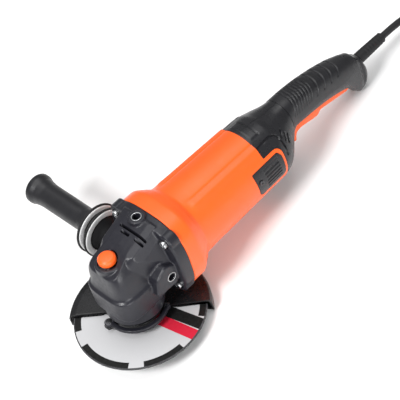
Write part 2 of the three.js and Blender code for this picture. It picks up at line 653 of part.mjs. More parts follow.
const hollowStations = handleStations
  .filter(({ x }) => x < 350)
  .map((station, i) => (i === 0 ? { ...station, x: station.x - 2 } : station));

const handleScrewPlaces = [[232, 60], [330, 86], [366, 44]];

const GRIP = { front: 250, rear: 358 };
const gripEdge = outline([
  [GRIP.front, 83], [262, 77], [290, 79], [345, 72], [GRIP.rear, 74], [GRIP.rear, 130], [GRIP.front, 130]
]);

function handleShell(side) {
  const outer = bodyAlongX(handleStations);
  const inner = bodyAlongX(hollowStations, HANDLE_WALL);
  const gripBed = common(slab(gripEdge, -40, 40), cut(bodyAlongX(handleStations, -2),
    bodyAlongX(handleStations, 1.3)));
  const half = mirrored(block([180, GAP / 2, 0], [400, 60, 140]), side);
  const bosses = handleScrewPlaces.map(([x, z]) =>
    common(alongY(rod(4.2, side * GAP / 2, side * 50)).translate(x, 0, z), bodyAlongX(handleStations, 0.5)));
  const walls = common(join(cut(outer, inner), ...bosses), half);
  const screwHoles = handleScrewPlaces.map(([x, z]) => alongY(rod(1.9, -60, 60, 8)).translate(x, 0, z));
  const headPockets = handleScrewPlaces.map(([x, z]) =>
    alongY(rod(3.6, headDepth(x, z), 60)).translate(x, 0, z));
  const slot = block([253.4, -TRIGGER.halfWidth - 0.6, 20], [350, TRIGGER.halfWidth + 0.6, 74]);
  const trunnionHole = alongY(rod(TRIGGER.trunnion + GAP, -30, 30, 16))
    .translate(TRIGGER.pivotX, 0, TRIGGER.pivotZ);
  const reliefSeat = join(rod(RELIEF.radius + GAP, 367, 390, 14), rod(RELIEF.flange + GAP, 350, 367, 14));
  const reliefHole = alongX(reliefSeat).translate(0, 0, RELIEF.z);
  return cut(walls, fingerRegion(GAP), gripBed, slot, trunnionHole, reliefHole, bearingRoom(),
    ...screwHoles, ...headPockets);
}

const bearingRoom = () => alongX(rod(15.2, 150, 214, 16)).translate(0, 0, MOTOR_HEIGHT);

const SCREW_SINK = 3.2; // depth of a handle screw's head below the skin

/** The height above the middle plane at which a handle screw's head sits. */
function headDepth(x, z) {
  const after = handleStations.findIndex((station) => station.x >= x);
  const [a, b] = [handleStations[after - 1], handleStations[after]];
  const share = (x - a.x) / (b.x - a.x);
  const blend = (key) => a[key] + (b[key] - a[key]) * share;
  const middle = (blend('top') + blend('bottom')) / 2;
  const level = Math.abs(z - middle) / ((blend('top') - blend('bottom')) / 2);
  return blend('half') * (1 - level ** blend('power')) ** (1 / blend('power')) - SCREW_SINK;
}

function handleScrew([x, z]) {
  const seat = headDepth(x, z) + GAP;
  const shank = rod(1.6, -seat + 4, seat + 0.5, 6);
  const head = rod(3.2, seat, seat + 1.8);
  return alongY(join(head, shank)).translate(x, 0, z);
}

function softGrip() {
  const skin = cut(bodyAlongX(handleStations), bodyAlongX(handleStations, 1));
  const between = block([GRIP.front + GAP, -40, 0], [GRIP.rear - GAP, 40, 140]);
  const patch = common(slab(gripEdge, -40, 40).translate(0, 0, GAP), between);
  return cut(common(skin, patch), ...gripScrewWindows());
}

const gripScrewWindows = () =>
  handleScrewPlaces.map(([x, z]) => alongY(rod(4, 0.5, 60)).translate(x, 0, z));

function trigger() {
  const paddle = new THREE.Shape();
  paddle.moveTo(254.6, 46.5);
  paddle.lineTo(258, 46);
  paddle.quadraticCurveTo(260, 56.5, 269, 58);
  paddle.lineTo(290, 53.8);
  paddle.quadraticCurveTo(296, 53.2, 301, 57.6);
  paddle.lineTo(344, 49.6);
  paddle.quadraticCurveTo(349, 50.5, 348.6, 56);
  paddle.quadraticCurveTo(347, 61, 340, 61.5);
  paddle.lineTo(302, 67);
  paddle.lineTo(263, 70);
  paddle.quadraticCurveTo(256, 69, 254.6, 46.5);
  const trunnion = alongY(rod(TRIGGER.trunnion, -TRIGGER.halfWidth - 1.6, TRIGGER.halfWidth + 1.6, 16))
    .translate(TRIGGER.pivotX, 0, TRIGGER.pivotZ);
  return join(slab(paddle, -TRIGGER.halfWidth, TRIGGER.halfWidth), trunnion);
}

function switchBody() {
  const { front, rear, halfWidth, bottom, top } = SWITCH;
  const body = block([front, -halfWidth, bottom], [rear, halfWidth, top]);
  return cut(body, rod(3.2, bottom - 5, bottom + 8, 16).translate(SWITCH.plungerX, 0, 0));
}

const plunger = () => rod(2.8, 68.8, SWITCH.bottom + 4, 16).translate(SWITCH.plungerX, 0, 0);

function cordClamp() {
  const bar = block([336, -11.5, 74.4], [343, 11.5, 78]);
  const ribs = [338, 341].map((x) => block([x - 0.6, -4, 73.6], [x + 0.6, 4, 75]));
  return join(bar, ...ribs);
}

// ---------------------------------------------------------------- side handle

const FLANGE = { radius: 29.5, front: 62, rear: 73, thick: 3.6, nose: 1.3 };
const STUD_RADIUS = 3.9;
const FRONT_NOSE = [[7.6, SIDE_BOSS.face + GAP], [7.6, 54], [13, 58]];
const REAR_NOSE = [[18.5, FLANGE.rear - FLANGE.nose]];

const sideHandleStud = () => rod(STUD_RADIUS, SIDE_BOSS.face - THREAD.depth + 1, 104, 20);

/** A round damper flange: a nose, then a rim with a shallow ring groove in the face towards the gear head. */
function damperFlange(nose, face) {
  const bore = STUD_RADIUS + GAP;
  const back = face + FLANGE.thick;
  return turned([
    [bore, nose[0][1]], ...nose, [20, face], [20.7, face + 1.2], [28.2, face + 1.2], [28.5, face],
    [FLANGE.radius, face + 0.8], [FLANGE.radius, back - 0.8], [FLANGE.radius - 1, back], [bore, back],
    [bore, nose[0][1]]
  ], 20);
}

const trimRing = (face) => ring(21.1, 27.8, face - 0.4, face + 0.9, 20);

const damper = () =>
  ring(STUD_RADIUS + GAP, 19, FLANGE.front + FLANGE.thick + GAP, FLANGE.rear - FLANGE.nose - GAP, 16);

function sideGrip() {
  const start = FLANGE.rear + FLANGE.thick + GAP;
  const body = turned([
    [0, start], [20, start], [19.4, start + 2], [16, start + 6.5], [14.2, 96], [14.6, 158], [16, 168],
    [18, 173.5], [18, 178.5], [17, 180], [0, 180]
  ], 18);
  return cut(body, rod(STUD_RADIUS + GAP, 70, 106, 20));
}

// ---------------------------------------------------------------- cord

function strainRelief() {
  return alongX(turned([
    [0, RELIEF.front], [RELIEF.flange, RELIEF.front], [RELIEF.flange, RELIEF.front + 4.6],
    [RELIEF.radius, RELIEF.front + 4.6], [RELIEF.radius, 385], [RELIEF.tip, RELIEF.end], [0, RELIEF.end]
  ], 14)).translate(0, 0, RELIEF.z);
}

/** The cord leaves the sleeve, sinks to the bench and runs up to its coil. Points are on the bench. */
const cordRoute = [
  [272, -52.5, 28.2], [292, -52.5, 22.8], [311, -52.5, 15.2], [329, -52.5, 8.2], [343.4, -52.5, 4.6]
];
const COIL = { x: 375, y: -110, inner: 36.3, outer: 61.7, height: 17 };
const PLUG = { length: 36, width: 35.3, height: 26, pinLength: 19, pinRadius: 2.4, pinSpacing: 19 };

function cordAlong(points, stepLength = 2.5 * 2 * CORD.radius) {
  const path = new THREE.CatmullRomCurve3(points.map((point) => new THREE.Vector3(...point)));
  const section = new THREE.Shape(superellipse(CORD.radius, CORD.radius, 2, CORD.sides)
    .map(([x, y]) => new THREE.Vector2(x, y)));
  const steps = Math.ceil(path.getLength() / stepLength);
  return new THREE.ExtrudeGeometry(section, { steps, extrudePath: path, bevelEnabled: false });
}

/** A flat two-pin plug lying on its side, with its face at the far end from the cord. */
function plugBody() {
  const sections = [[0, 5.5, 5.5, 2], [10, 8, 7, 2.2], [22, 13, 17.4, 3], [PLUG.length, 13, 17.6, 3]];
  const body = new LoftGeometry(sections.map(([z, height, width, power]) =>
    superellipse(height, width, power, 16).map(([x, y]) => new THREE.Vector3(x, y, z))),
  { capStart: true, capEnd: true });
  const pins = [-1, 1].map((side) =>
    rod(PLUG.pinRadius, PLUG.length - 7, PLUG.length + PLUG.pinLength, 8)
      .translate(0, (side * PLUG.pinSpacing) / 2, 0));
  return join(body, ...pins);
}

const cordCoil = () => ring(COIL.inner, COIL.outer, 0, COIL.height, 28).translate(COIL.x, COIL.y, 0);

// ---------------------------------------------------------------- the tool, piece by piece

piece(tool, 'gear_case', gearCase(), castAlloy);
screwCorners.forEach((place, i) =>
  piece(tool, `gear_case_screw_${i + 1}`, gearCaseScrew(place), brightSteel));
piece(tool, 'bearing_flange', bearingFlange(), castAlloy);
piece(tool, 'lock_button', lockButton(), orangePlastic);
piece(tool, 'lock_pin', lockPin(), bearingSteel);
piece(tool, 'lock_spring', lockSpring(), bearingSteel);

piece(tool, 'spindle', spindle(), bearingSteel);
piece(tool, 'crown_gear', crownGear(), bearingSteel);
const { ball, needle, front, rear } = bearing;
piece(tool, 'spindle_ball_bearing', ballBearing(ball, ball.bottom, ball.bottom + ball.height), bearingSteel);
piece(tool, 'spindle_needle_bearing',
  ring(needle.bore + GAP, needle.radius, needle.bottom + GAP, needle.bottom + needle.height), bearingSteel);
piece(tool, 'inner_flange', innerFlange(), brightSteel);
piece(tool, 'grinding_wheel', ring(WHEEL.bore, WHEEL.radius, -WHEEL.thickness, 0, 40), abrasive);
piece(tool, 'lock_nut', lockNut(), blackSteel);

piece(tool, 'wheel_guard', wheelGuard(), blackSteel);
piece(tool, 'guard_lever', guardLever(), castAlloy);
piece(tool, 'guard_lever_rivet', leverRivet(), brightSteel);

piece(tool, 'motor_housing', motorHousing(), orangePlastic);
piece(motorLine, 'stator_core', statorCore(), laminatedSteel);
piece(motorLine, 'field_coil_upper', fieldCoil(Math.PI), copper);
piece(motorLine, 'field_coil_lower', fieldCoil(0), copper);
piece(motorLine, 'armature_shaft', armatureShaft(), bearingSteel);
piece(motorLine, 'armature_core',
  slotted(6.8, ARMATURE.radius, ARMATURE.front, ARMATURE.rear, 12, 3, 9), laminatedSteel);
piece(motorLine, 'armature_winding', armatureWinding(), copper);
piece(motorLine, 'commutator', slotted(6.8, COMMUTATOR_RADIUS, 176, 197, 16, 0.8, 1.2), copper);
piece(motorLine, 'cooling_fan', coolingFan(), blackPlastic);
piece(motorLine, 'pinion', pinion(), bearingSteel);
piece(motorLine, 'motor_front_bearing', ballBearing(front, front.from, front.to), bearingSteel);
piece(motorLine, 'motor_rear_bearing', ballBearing(rear, rear.from, rear.to), bearingSteel);
const sideNames = { '-1': 'left', 1: 'right' };
for (const side of brushPlaces) {
  piece(tool, `brush_holder_${sideNames[side]}`, brushHolder(side), brass);
  piece(tool, `carbon_brush_${sideNames[side]}`, carbonBrush(side), carbon);
  piece(tool, `brush_cover_${sideNames[side]}`, brushCover(side), blackPlastic);
  piece(tool, `brush_cover_screw_${sideNames[side]}`, brushCoverScrew(side), blackSteel);
}

const shells = [-1, 1].map((side) =>
  piece(tool, `handle_shell_${sideNames[side]}`, handleShell(side), blackPlastic));
handleScrewPlaces.forEach((place, i) => piece(tool, `handle_screw_${i + 1}`, handleScrew(place), blackSteel));
piece(tool, 'soft_grip', softGrip(), blackRubber);
piece(tool, 'trigger', trigger(), orangePlastic);
piece(tool, 'switch_body', switchBody(), natural);
piece(tool, 'switch_plunger', plunger(), natural);
piece(tool, 'cord_clamp', cordClamp(), natural);
piece(tool, 'strain_relief', strainRelief(), blackRubber);

piece(sideHandle, 'side_handle_stud', sideHandleStud(), brightSteel);
piece(sideHandle, 'side_handle_front_flange', damperFlange(FRONT_NOSE, FLANGE.front), blackRubber);
piece(sideHandle, 'side_handle_front_trim', trimRing(FLANGE.front), chrome);
piece(sideHandle, 'side_handle_damper', damper(), blackRubber);
piece(sideHandle, 'side_handle_rear_flange', damperFlange(REAR_NOSE, FLANGE.rear), blackRubber);
piece(sideHandle, 'side_handle_rear_trim', trimRing(FLANGE.rear), chrome);
piece(sideHandle, 'side_handle_grip', sideGrip(), blackRubber);

// ---------------------------------------------------------------- standing on the bench

/** The pitch at which a bench under the guard's rim just touches the lowest part of the handle. */
function restingPitch() {
  const point = new THREE.Vector3();
  const angles = shells.flatMap(({ geometry }) => {
    const corners = geometry.getAttribute('position');
    return Array.from({ length: corners.count }, (_, i) => {
      point.fromBufferAttribute(corners, i);
      return point.x > GUARD.radius + 100 ? Math.atan2(point.z - GUARD.rim, point.x - GUARD.radius) : Math.PI;
    });
  });
  return Math.min(...angles);
}

tool.rotation.y = restingPitch();
const extent = new THREE.Box3().setFromObject(tool, true);
tool.position.set(-(extent.min.x + extent.max.x) / 2, -(extent.min.y + extent.max.y) / 2, -extent.min.z);

// ---------------------------------------------------------------- the cord on the bench

grinder.updateMatrixWorld(true);
const cordExit = tool.localToWorld(new THREE.Vector3(RELIEF.end + GAP, 0, RELIEF.z)).toArray();
piece(grinder, 'power_cord', cordAlong([cordExit, ...cordRoute]), blackRubber);
piece(grinder, 'cord_coil', cordCoil(), blackRubber);

const plug = new THREE.Group(); // local +Z runs out of the plug's face along its pins
plug.position.set(COIL.x + 33.8, cordExit[1], PLUG.height / 2 + GAP);
plug.rotation.y = QUARTER;
grinder.add(plug);
piece(plug, 'plug', plugBody(), blackRubber);

export default grinder;
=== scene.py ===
"""An angle grinder with a 150 mm wheel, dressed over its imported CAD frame.

The tool stands tipped on the bench, so its parts are built in the tool frame and then placed by one matrix:
the origin is the centre of the wheel's upper face, +Z runs up the spindle, +X runs back along the motor, and
+Y points out along the side handle. Lengths in the tool frame are in millimetres until a mesh is made.
"""

import json
import math

import bmesh
import bpy
from mathutils import Matrix, Vector


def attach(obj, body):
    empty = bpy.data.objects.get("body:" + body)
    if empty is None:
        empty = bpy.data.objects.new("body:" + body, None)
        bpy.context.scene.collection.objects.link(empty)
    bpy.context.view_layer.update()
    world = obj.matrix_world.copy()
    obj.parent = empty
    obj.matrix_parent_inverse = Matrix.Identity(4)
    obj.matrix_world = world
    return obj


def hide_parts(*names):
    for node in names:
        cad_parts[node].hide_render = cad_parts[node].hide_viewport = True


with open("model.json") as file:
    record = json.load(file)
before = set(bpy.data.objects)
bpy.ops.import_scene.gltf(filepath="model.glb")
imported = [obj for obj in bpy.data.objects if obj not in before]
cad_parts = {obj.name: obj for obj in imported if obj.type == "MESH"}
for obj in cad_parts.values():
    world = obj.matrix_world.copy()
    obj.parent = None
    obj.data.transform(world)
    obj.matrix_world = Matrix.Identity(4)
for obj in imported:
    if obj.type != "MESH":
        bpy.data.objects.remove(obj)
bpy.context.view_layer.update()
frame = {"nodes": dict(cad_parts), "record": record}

MM = 0.001
MERGE = 1e-6
JOINTS = {joint["name"]: joint for joint in frame["record"]["behaviour"]["joints"]}
SPINDLE_UP = Vector(JOINTS["spindle_spin"]["axis"])
TOOL = (Matrix.Translation(JOINTS["spindle_spin"]["pos_m"])
        @ Matrix.Rotation(math.atan2(SPINDLE_UP.x, SPINDLE_UP.z), 4, "Y"))
ALONG_X = Matrix.Rotation(math.radians(90), 4, "Y")
ALONG_Y = Matrix.Rotation(math.radians(-90), 4, "X")
UPSIDE_DOWN = Matrix.Rotation(math.pi, 4, "X")

# ---- driving dimensions, as in the CAD model

GAP = 0.3  # between pieces that meet
WHEEL_RADIUS, WHEEL_THICKNESS, WHEEL_BORE = 75, 2.2, 11.1
SPINDLE_RADIUS, SPINDLE_END, SPINDLE_PITCH = 7, -14, 2
NECK_RADIUS = 26
MOTOR_HEIGHT = 70
RIM_HEIGHT = 35.5  # the gear case stands on the bearing flange
JOINT_FACE = 51  # the gear case meets the motor housing
HOUSING_END = 188.7  # the motor housing meets the rear handle
HANDLE_END = 381

# Gear head. Its plateau climbs towards the motor, its roof falls away on both sides, in points of
# (distance out, fall), and its brow slopes down to the front.
PLATEAU_X, PLATEAU_Z, PLATEAU_SLOPE = -12, 104, 0.36
ROOF = [(0, 0), (16, 0.5), (24, 3), (30, 15), (90, 230)]
BROW_X, BROW_SLOPE = 7, 0.5
REACH = 90
HEAD_STATIONS = [
    (RIM_HEIGHT, 33.3, 33.3, 3.9), (RIM_HEIGHT + 1.2, 34.5, 34.2, 3.9), (63, 34.5, 34, 3.9),
    (64.6, 34, 33.4, 3.9), (66.5, 31.3, 31, 4), (72, 29.8, 29.2, 4.4), (84, 28.2, 27.6, 4.8),
    (92, 27.2, 25.6, 4.4), (98, 26, 22.6, 3.8), (104, 24, 19.4, 3.4), (112, 20, 16, 3.4)]
TUNNEL_STATIONS = [
    (-4, 106, 34, 25, 4.5), (9, 114, 33, 29.5, 5), (22, 121, 32, 33, 5), (30, 122, 31.5, 36, 4.6),
    (42, 122, 27, 42, 3.6)]
CASE_FLANGE_STATIONS = [
    (37, 119, 22, 50, 3), (39, 121, 19.5, 52.2, 3), (JOINT_FACE - GAP, 121, 19, 52.5, 2.9)]
CASE_SLOTS = [(24.5, -25, 14), (19.5, -25, -12), (19.5, -5, 8)]  # each at x, between two values of y
CASE_SCREWS = [(side * 37, 72 + level * 33.5) for side in (-1, 1) for level in (-1, 1)]
CASE_SCREW_FACE = 34
SIDE_BOSS_X, SIDE_BOSS_Z, SIDE_BOSS_FACE = 28.5, 64.5, 43.5
SIDE_PAD = [(5, 52, 4), (33, 50, 4), (40, 58, 3), (40, 76, 4), (24, 84, 6), (10, 74, 6)]
TOP_BOSS_X, TOP_BOSS_FACE = 38, 124.6
THREAD_RADIUS, THREAD_DEPTH = 4.2, 12
BUTTON_RADIUS = 10

# Guard and its lever, each between two angles.
GUARD_RADIUS, GUARD_RIM, GUARD_PLATE, GUARD_SHEET = 80.5, -12, 3.6, 2
GUARD_FROM, GUARD_TO = -46, 132
LEVER_INNER, LEVER_OUTER, LEVER_LOW, LEVER_HIGH = 31, 36, 9.4, 13.6
LEVER_FROM, LEVER_TO = 165, 305
LEVER_PIVOT = (35.7 * math.cos(math.radians(LEVER_FROM)), 35.7 * math.sin(math.radians(LEVER_FROM)))
RIVET_HOLE = 1.8

# Motor housing. Its two fingers reach back into the handle and hold the brush covers.
HOUSING_STATIONS = [
    (JOINT_FACE, 121, 19, 52.5, 2.9), (66, 120.5, 19, 52.2, 2.9), (76, 117.5, 22.5, 48.5, 2.5),
    (84, 115, 25.4, 45, 2.1), (100, 114.3, 25.7, 44.3, 2), (150, 113.3, 26.7, 43.3, 2),
    (190, 112.4, 27.6, 42.4, 2), (213, 111.9, 28.1, 41.9, 2)]
HOUSING_WALL = 3
CREASE = 127  # the angle of the ridge along each upper corner
FINGER_END, FINGER_LOW, FINGER_HIGH, FINGER_CORNER = 213, 44, 94, 10
SIDES = {"left": (-60, -20), "right": (20, 60)}  # the span of y that each brush cover lies in
COVER = [(166, 90, 2), (206, 90, 4), (209.6, 84, 4), (209.6, 60, 3), (206, 57, 3), (172, 57, 2), (168, 61, 3)]
COVER_PROUD = 0.35
COVER_RIBS = [63 + 4.5 * k for k in range(6)]
COVER_SCREW = (172.5, 76)

# Rear handle. TAB and VENTS are grooves, as (x, angle) points.
HANDLE_STATIONS = [
    (HOUSING_END + GAP, 112.4, 27.6, 42.4, 2), (213, 111.8, 28.4, 41.7, 2), (222, 109.6, 30, 39.6, 2),
    (231, 108.3, 35.5, 35.3, 2), (239, 107.8, 43, 29.3, 2), (246, 107.9, 52, 24, 2.1),
    (252, 108.1, 60.5, 20.5, 2.3), (260, 108.3, 66, 18.3, 2.6), (280, 107, 65, 17.6, 2.8),
    (300, 104, 63.5, 17.5, 2.8), (319, 100, 60.2, 17.3, 2.8), (338, 94.8, 55, 17, 2.8),
    (346, 92.3, 51, 16.6, 2.7), (353, 90.2, 43, 16, 2.6), (360, 88, 34, 15.3, 2.6),
    (366, 85.5, 28.6, 14.8, 2.6), (371, 81.5, 27.8, 14.4, 2.6), (375.5, 76, 31.5, 13.6, 2.5),
    (379, 68, 38.5, 12, 2.3), (HANDLE_END, 62, 45, 9, 2)]
CAVITY_END = 346
COLLAR_ARC = math.radians(1) * 42  # millimetres round the collar for one degree
TAB = [(191, 127), (200, 126.6), (211, 126), (216.5, 129), (219, 134), (220, 153), (219, 170)]
VENTS = [[(228, 130.5), (223, 140)], [(230, 139), (225.5, 151)], [(233, 144), (228.5, 157)]]
GRIP_FRONT, GRIP_REAR, GRIP_TOP = 250, 358, 130
GRIP_EDGE = [(257, 79.5, 6), (266, 77, 8), (292, 79, 30), (330, 73, 30), (345, 72, 8)]
FINE_RIBS = [263 + 4.2 * k for k in range(8)]
BROAD_RIBS = [302 + 12 * k for k in range(4)]
TRIGGER_PIVOT = (344, 55.5)
TRIGGER_HALF = 10
TRIGGER_OUTLINE = [
    (254.6, 46.5, 1.2), (258, 46, 1.2), (260.5, 57, 8), (269, 58, 6), (290, 53.8, 8), (296, 53.2, 6),
    (301, 57.6, 5), (344, 49.6, 5), (349, 50.5, 3), (348.6, 58, 3), (340, 61.5, 3), (302, 67, 2),
    (263, 70, 3), (256.5, 67, 4)]
RELIEF_Z, RELIEF_FRONT, RELIEF_END = 67, 362, 421
RELIEF_RADIUS, RELIEF_FLANGE = 7.2, 9.2

# Side handle, along its own axis from the middle of the tool.
STUD_RADIUS, STUD_END = 3.9, 104
FLANGE_RADIUS, FLANGE_THICK, FLANGE_NOSE = 29.5, 3.6, 1.3
FRONT_FLANGE, REAR_FLANGE = 62, 73

# Cord, tie and plug in millimetres, and their route, coil and gap on the bench in metres.
CORD_RADIUS = 4.25
CORD_ROUTE = [(0.272, -0.0525, 0.0282), (0.292, -0.0525, 0.0228), (0.311, -0.0525, 0.0152),
              (0.329, -0.0525, 0.0082), (0.3434, -0.0525, 0.0050)]
COIL_CENTRE = (0.375, -0.110)
COIL_RADII = (0.0575, 0.049, 0.0405, 0.0405, 0.049, 0.0575)
COIL_LIFT = 0.0007
TURN_STEPS = 36
TIE_THICK, TIE_WIDTH = 0.6, 12
PLUG_GAP = 0.0338
PLUG_LENGTH, PLUG_WIDTH, PLUG_HEIGHT = 36, 35.3, 26
PIN_LENGTH, PIN_RADIUS, PIN_SPACING = 19, 2.4, 19

# Printed label of the wheel.
LABEL_RADIUS, LABEL_BORDER = 73.6, 66.5
LABEL_GREY = (0.46, 0.46, 0.47)
LABEL_BLACK = (0.006, 0.006, 0.006)
LABEL_RED = (0.52, 0.012, 0.035)
LABEL_SCUFF = (0.3, 0.3, 0.3)
GRIT = (0.035, 0.035, 0.037)
COPPER = (0.45, 0.16, 0.06)

# Studio.
LAMP_TARGET = Vector((0, 0, 0.05))
LAMPS = [("key", (-1.0, -0.25, 1.35), 0.45, 22), ("overhead", (0.3, 0.2, 2.0), 1.8, 28),
         ("fill", (-0.6, -1.6, 0.5), 0.6, 17)]  # name, place, size and watts

# ---- camera

CAMERA_PLACE = (-0.46174, -0.99594, 1.33065)
CAMERA_TURN = (35.7227, 17.9605, -46.8131)
CAMERA_LENS = 135


def placed(name, data):
    """A new object in the scene."""
    made = bpy.data.objects.new(name, data)
    bpy.context.scene.collection.objects.link(made)
    return made


def make_camera():
    """The photo's view."""
    camera = placed("camera", bpy.data.cameras.new("camera"))
    camera.data.lens = CAMERA_LENS
    camera.data.sensor_width = 36
    camera.data.clip_end = 20
    camera.location = CAMERA_PLACE
    camera.rotation_euler = [math.radians(angle) for angle in CAMERA_TURN]
    bpy.context.scene.camera = camera


# ---- mesh helpers

def from_bmesh(bm):
    """A working object from a bmesh, with its faces turned outwards."""
    bmesh.ops.remove_doubles(bm, verts=bm.verts, dist=MERGE)
    bmesh.ops.dissolve_degenerate(bm, dist=MERGE, edges=bm.edges)
    bmesh.ops.recalc_face_normals(bm, faces=bm.faces)
    mesh = bpy.data.meshes.new("work")
    bm.to_mesh(mesh)
    bm.free()
    return placed("work", mesh)


def skin(rings, caps=True):
    """A closed surface through rings of points in millimetres."""
    bm = bmesh.new()
    rows = [[bm.verts.new(Vector(point) * MM) for point in ring] for ring in rings]
    for low, high in zip(rows, rows[1:]):
        for i in range(len(low)):
            j = (i + 1) % len(low)
            bm.faces.new((low[i], low[j], high[j], high[i]))
    if caps:
        bm.faces.new(rows[0])
        bm.faces.new(rows[-1])
    return from_bmesh(bm)


def rounded(points, closed=False, steps=5):
    """An outline whose corners (x, y, fillet) become small curves."""
    out = []
    last = len(points) - 1
    for i, point in enumerate(points):
        corner = Vector(point[:2])
        fillet = point[2] if len(point) > 2 else 0
        if not fillet or (not closed and i in (0, last)):
            out.append(corner)
            continue
        before = Vector(points[i - 1][:2]) - corner
        after = Vector(points[(i + 1) % len(points)][:2]) - corner
        reach = fillet / math.tan(max(before.angle(after) / 2, 0.05))
        start = corner + before.normalized() * min(reach, 0.49 * before.length)
        end = corner + after.normalized() * min(reach, 0.49 * after.length)
        for k in range(steps + 1):
            t = k / steps
            out.append(start * (1 - t) ** 2 + corner * 2 * t * (1 - t) + end * t ** 2)
    return out


def oblong(x0, y0, x1, y1, fillet=0):
    """The outline of a rectangle."""
    return [(x0, y0, fillet), (x1, y0, fillet), (x1, y1, fillet), (x0, y1, fillet)]


def circle(radius, z, sides):
    """Evenly spaced points round Z."""
    return [(radius * math.cos(math.tau * i / sides), radius * math.sin(math.tau * i / sides), z)
            for i in range(sides)]


def turned(profile, sides=96, closed=False):
    """A solid turned about Z from (radius, z, fillet) points."""
    points = rounded(profile, closed)
    rings = [circle(max(radius, 0), z, sides) for radius, z in points]
    if closed:
        rings.append(rings[0])
    return skin(rings, caps=False)


def rod(radius, low, high, edge=0.0, sides=48):
    """A round bar on Z."""
    return turned([(0, low), (radius, low, edge), (radius, high, edge), (0, high)], sides)


def bar_x(radius, low, high, y, z, edge=0.0):
    """A round bar along X."""
    return move(turn(rod(radius, low, high, edge), ALONG_X), 0, y, z)


def bar_y(radius, low, high, x, z, edge=0.0, sides=48):
    """A round bar along Y."""
    return move(turn(rod(radius, low, high, edge, sides), ALONG_Y), x, 0, z)


def tube(inner, outer, low, high, edge=0.0, sides=96):
    """A ring on Z."""
    return turned(oblong(inner, low, outer, high, edge), sides, closed=True)


def swept(profile, start, end, steps=72):
    """A closed profile turned about Z between two angles."""
    points = rounded(profile, closed=True)
    rings = []
    for k in range(steps + 1):
        angle = math.radians(start + (end - start) * k / steps)
        rings.append([(r * math.cos(angle), r * math.sin(angle), z) for r, z in points])
    return skin(rings)


def prism(points, low, high, edge=0.0):
    """An outline pulled up Z, with its end edges rounded."""
    flat = rounded(points, closed=True)
    work = skin([[(x, y, z) for x, y in flat] for z in (low, high)])
    if edge:
        bevel(work, edge)
    return work


def bevel(work, edge, segments=3, angle=50):
    """Rounds the edges that turn by more than the angle."""
    bm = bmesh.new()
    bm.from_mesh(work.data)
    sharp = [e for e in bm.edges if len(e.link_faces) == 2
             and e.calc_face_angle(0) > math.radians(angle)]
    bmesh.ops.bevel(bm, geom=sharp, offset=edge * MM, segments=segments, profile=0.5, affect="EDGES")
    bm.to_mesh(work.data)
    bm.free()


def slab(points, low, high, edge=0.0):
    """An outline in X and Z, as a slab between two values of Y."""
    return turn(prism(points, -high, -low, edge), Matrix.Rotation(math.radians(90), 4, "X"))


def block(low, high):
    """A box between two corners."""
    (x0, y0, z0), (x1, y1, z1) = low, high
    return prism(oblong(x0, y0, x1, y1), z0, z1)


def turn(work, matrix):
    """The same working object, turned."""
    work.data.transform(matrix)
    return work


def move(work, x=0.0, y=0.0, z=0.0):
    """The same working object, moved."""
    return turn(work, Matrix.Translation(Vector((x, y, z)) * MM))


def applied(work):
    """The working object with its modifiers made real."""
    graph = bpy.context.evaluated_depsgraph_get()
    mesh = bpy.data.meshes.new_from_object(work.evaluated_get(graph))
    work.modifiers.clear()
    old = work.data
    work.data = mesh
    bpy.data.meshes.remove(old)
    return work


def combine(work, others, operation):
    """The working object after a boolean with each of the others, which are used up."""
    for other in others:
        modifier = work.modifiers.new("combine", "BOOLEAN")
        modifier.operation = operation
        modifier.solver = "EXACT"
        modifier.object = other
        applied(work)
        bpy.data.objects.remove(other)
    return work


def cut(work, *others):
    return combine(work, others, "DIFFERENCE")


def common(work, *others):
    return combine(work, others, "INTERSECT")


def join(work, *others):
    return combine(work, others, "UNION")


def gathered(work, *others):
    """Separate shells in one mesh."""
    bm = bmesh.new()
    for one in (work, *others):
        bm.from_mesh(one.data)
    bm.to_mesh(work.data)
    bm.free()
    for one in others:
        bpy.data.objects.remove(one)
    return work


def duplicate(work):
    """A second working object with the same mesh."""
    return placed("work", work.data.copy())


def melted(work, voxel, passes):
    """Shells that cross melted into one casting with soft fillets."""
    remesh = work.modifiers.new("melt", "REMESH")
    remesh.mode = "VOXEL"
    remesh.voxel_size = voxel * MM
    smooth = work.modifiers.new("soften", "SMOOTH")
    smooth.factor = 0.5
    smooth.iterations = passes
    return applied(work)


def finished(work, name, body, look, *nodes, slot=None, sharp=32, matrix=TOOL):
    """The working object as a piece: placed, painted, and riding on its body."""
    work.name = name
    work.data.name = name
    for polygon in work.data.polygons:
        polygon.use_smooth = True
    work.data.set_sharp_from_angle(angle=math.radians(sharp))
    work.data.materials.clear()
    work.data.materials.append(MATERIALS[look])
    work.matrix_world = matrix
    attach(work, body)
    if nodes:
        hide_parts(*nodes)
    return work


# ---- lofted bodies

def monotone(stations, column, x):
    """A smooth curve through one column of the stations, without overshoot."""
    xs = [station[0] for station in stations]
    ys = [station[column] for station in stations]
    x = min(max(x, xs[0]), xs[-1])
    k = max(i for i in range(len(xs) - 1) if xs[i] <= x)
    rise = [(ys[i + 1] - ys[i]) / (xs[i + 1] - xs[i]) for i in range(len(xs) - 1)]

    def slope(i):
        if i == 0:
            return rise[0]
        if i == len(xs) - 1:
            return rise[-1]
        if rise[i - 1] * rise[i] <= 0:
            return 0
        return 2 * rise[i - 1] * rise[i] / (rise[i - 1] + rise[i])

    width = xs[k + 1] - xs[k]
    t = (x - xs[k]) / width
    return (ys[k] * (1 + 2 * t) * (1 - t) ** 2 + ys[k + 1] * t * t * (3 - 2 * t)
            + width * (slope(k) * t * (1 - t) ** 2 - slope(k + 1) * t * t * (1 - t)))


def signed_power(value, power):
    """A power that keeps the sign."""
    return math.copysign(abs(value) ** power, value)


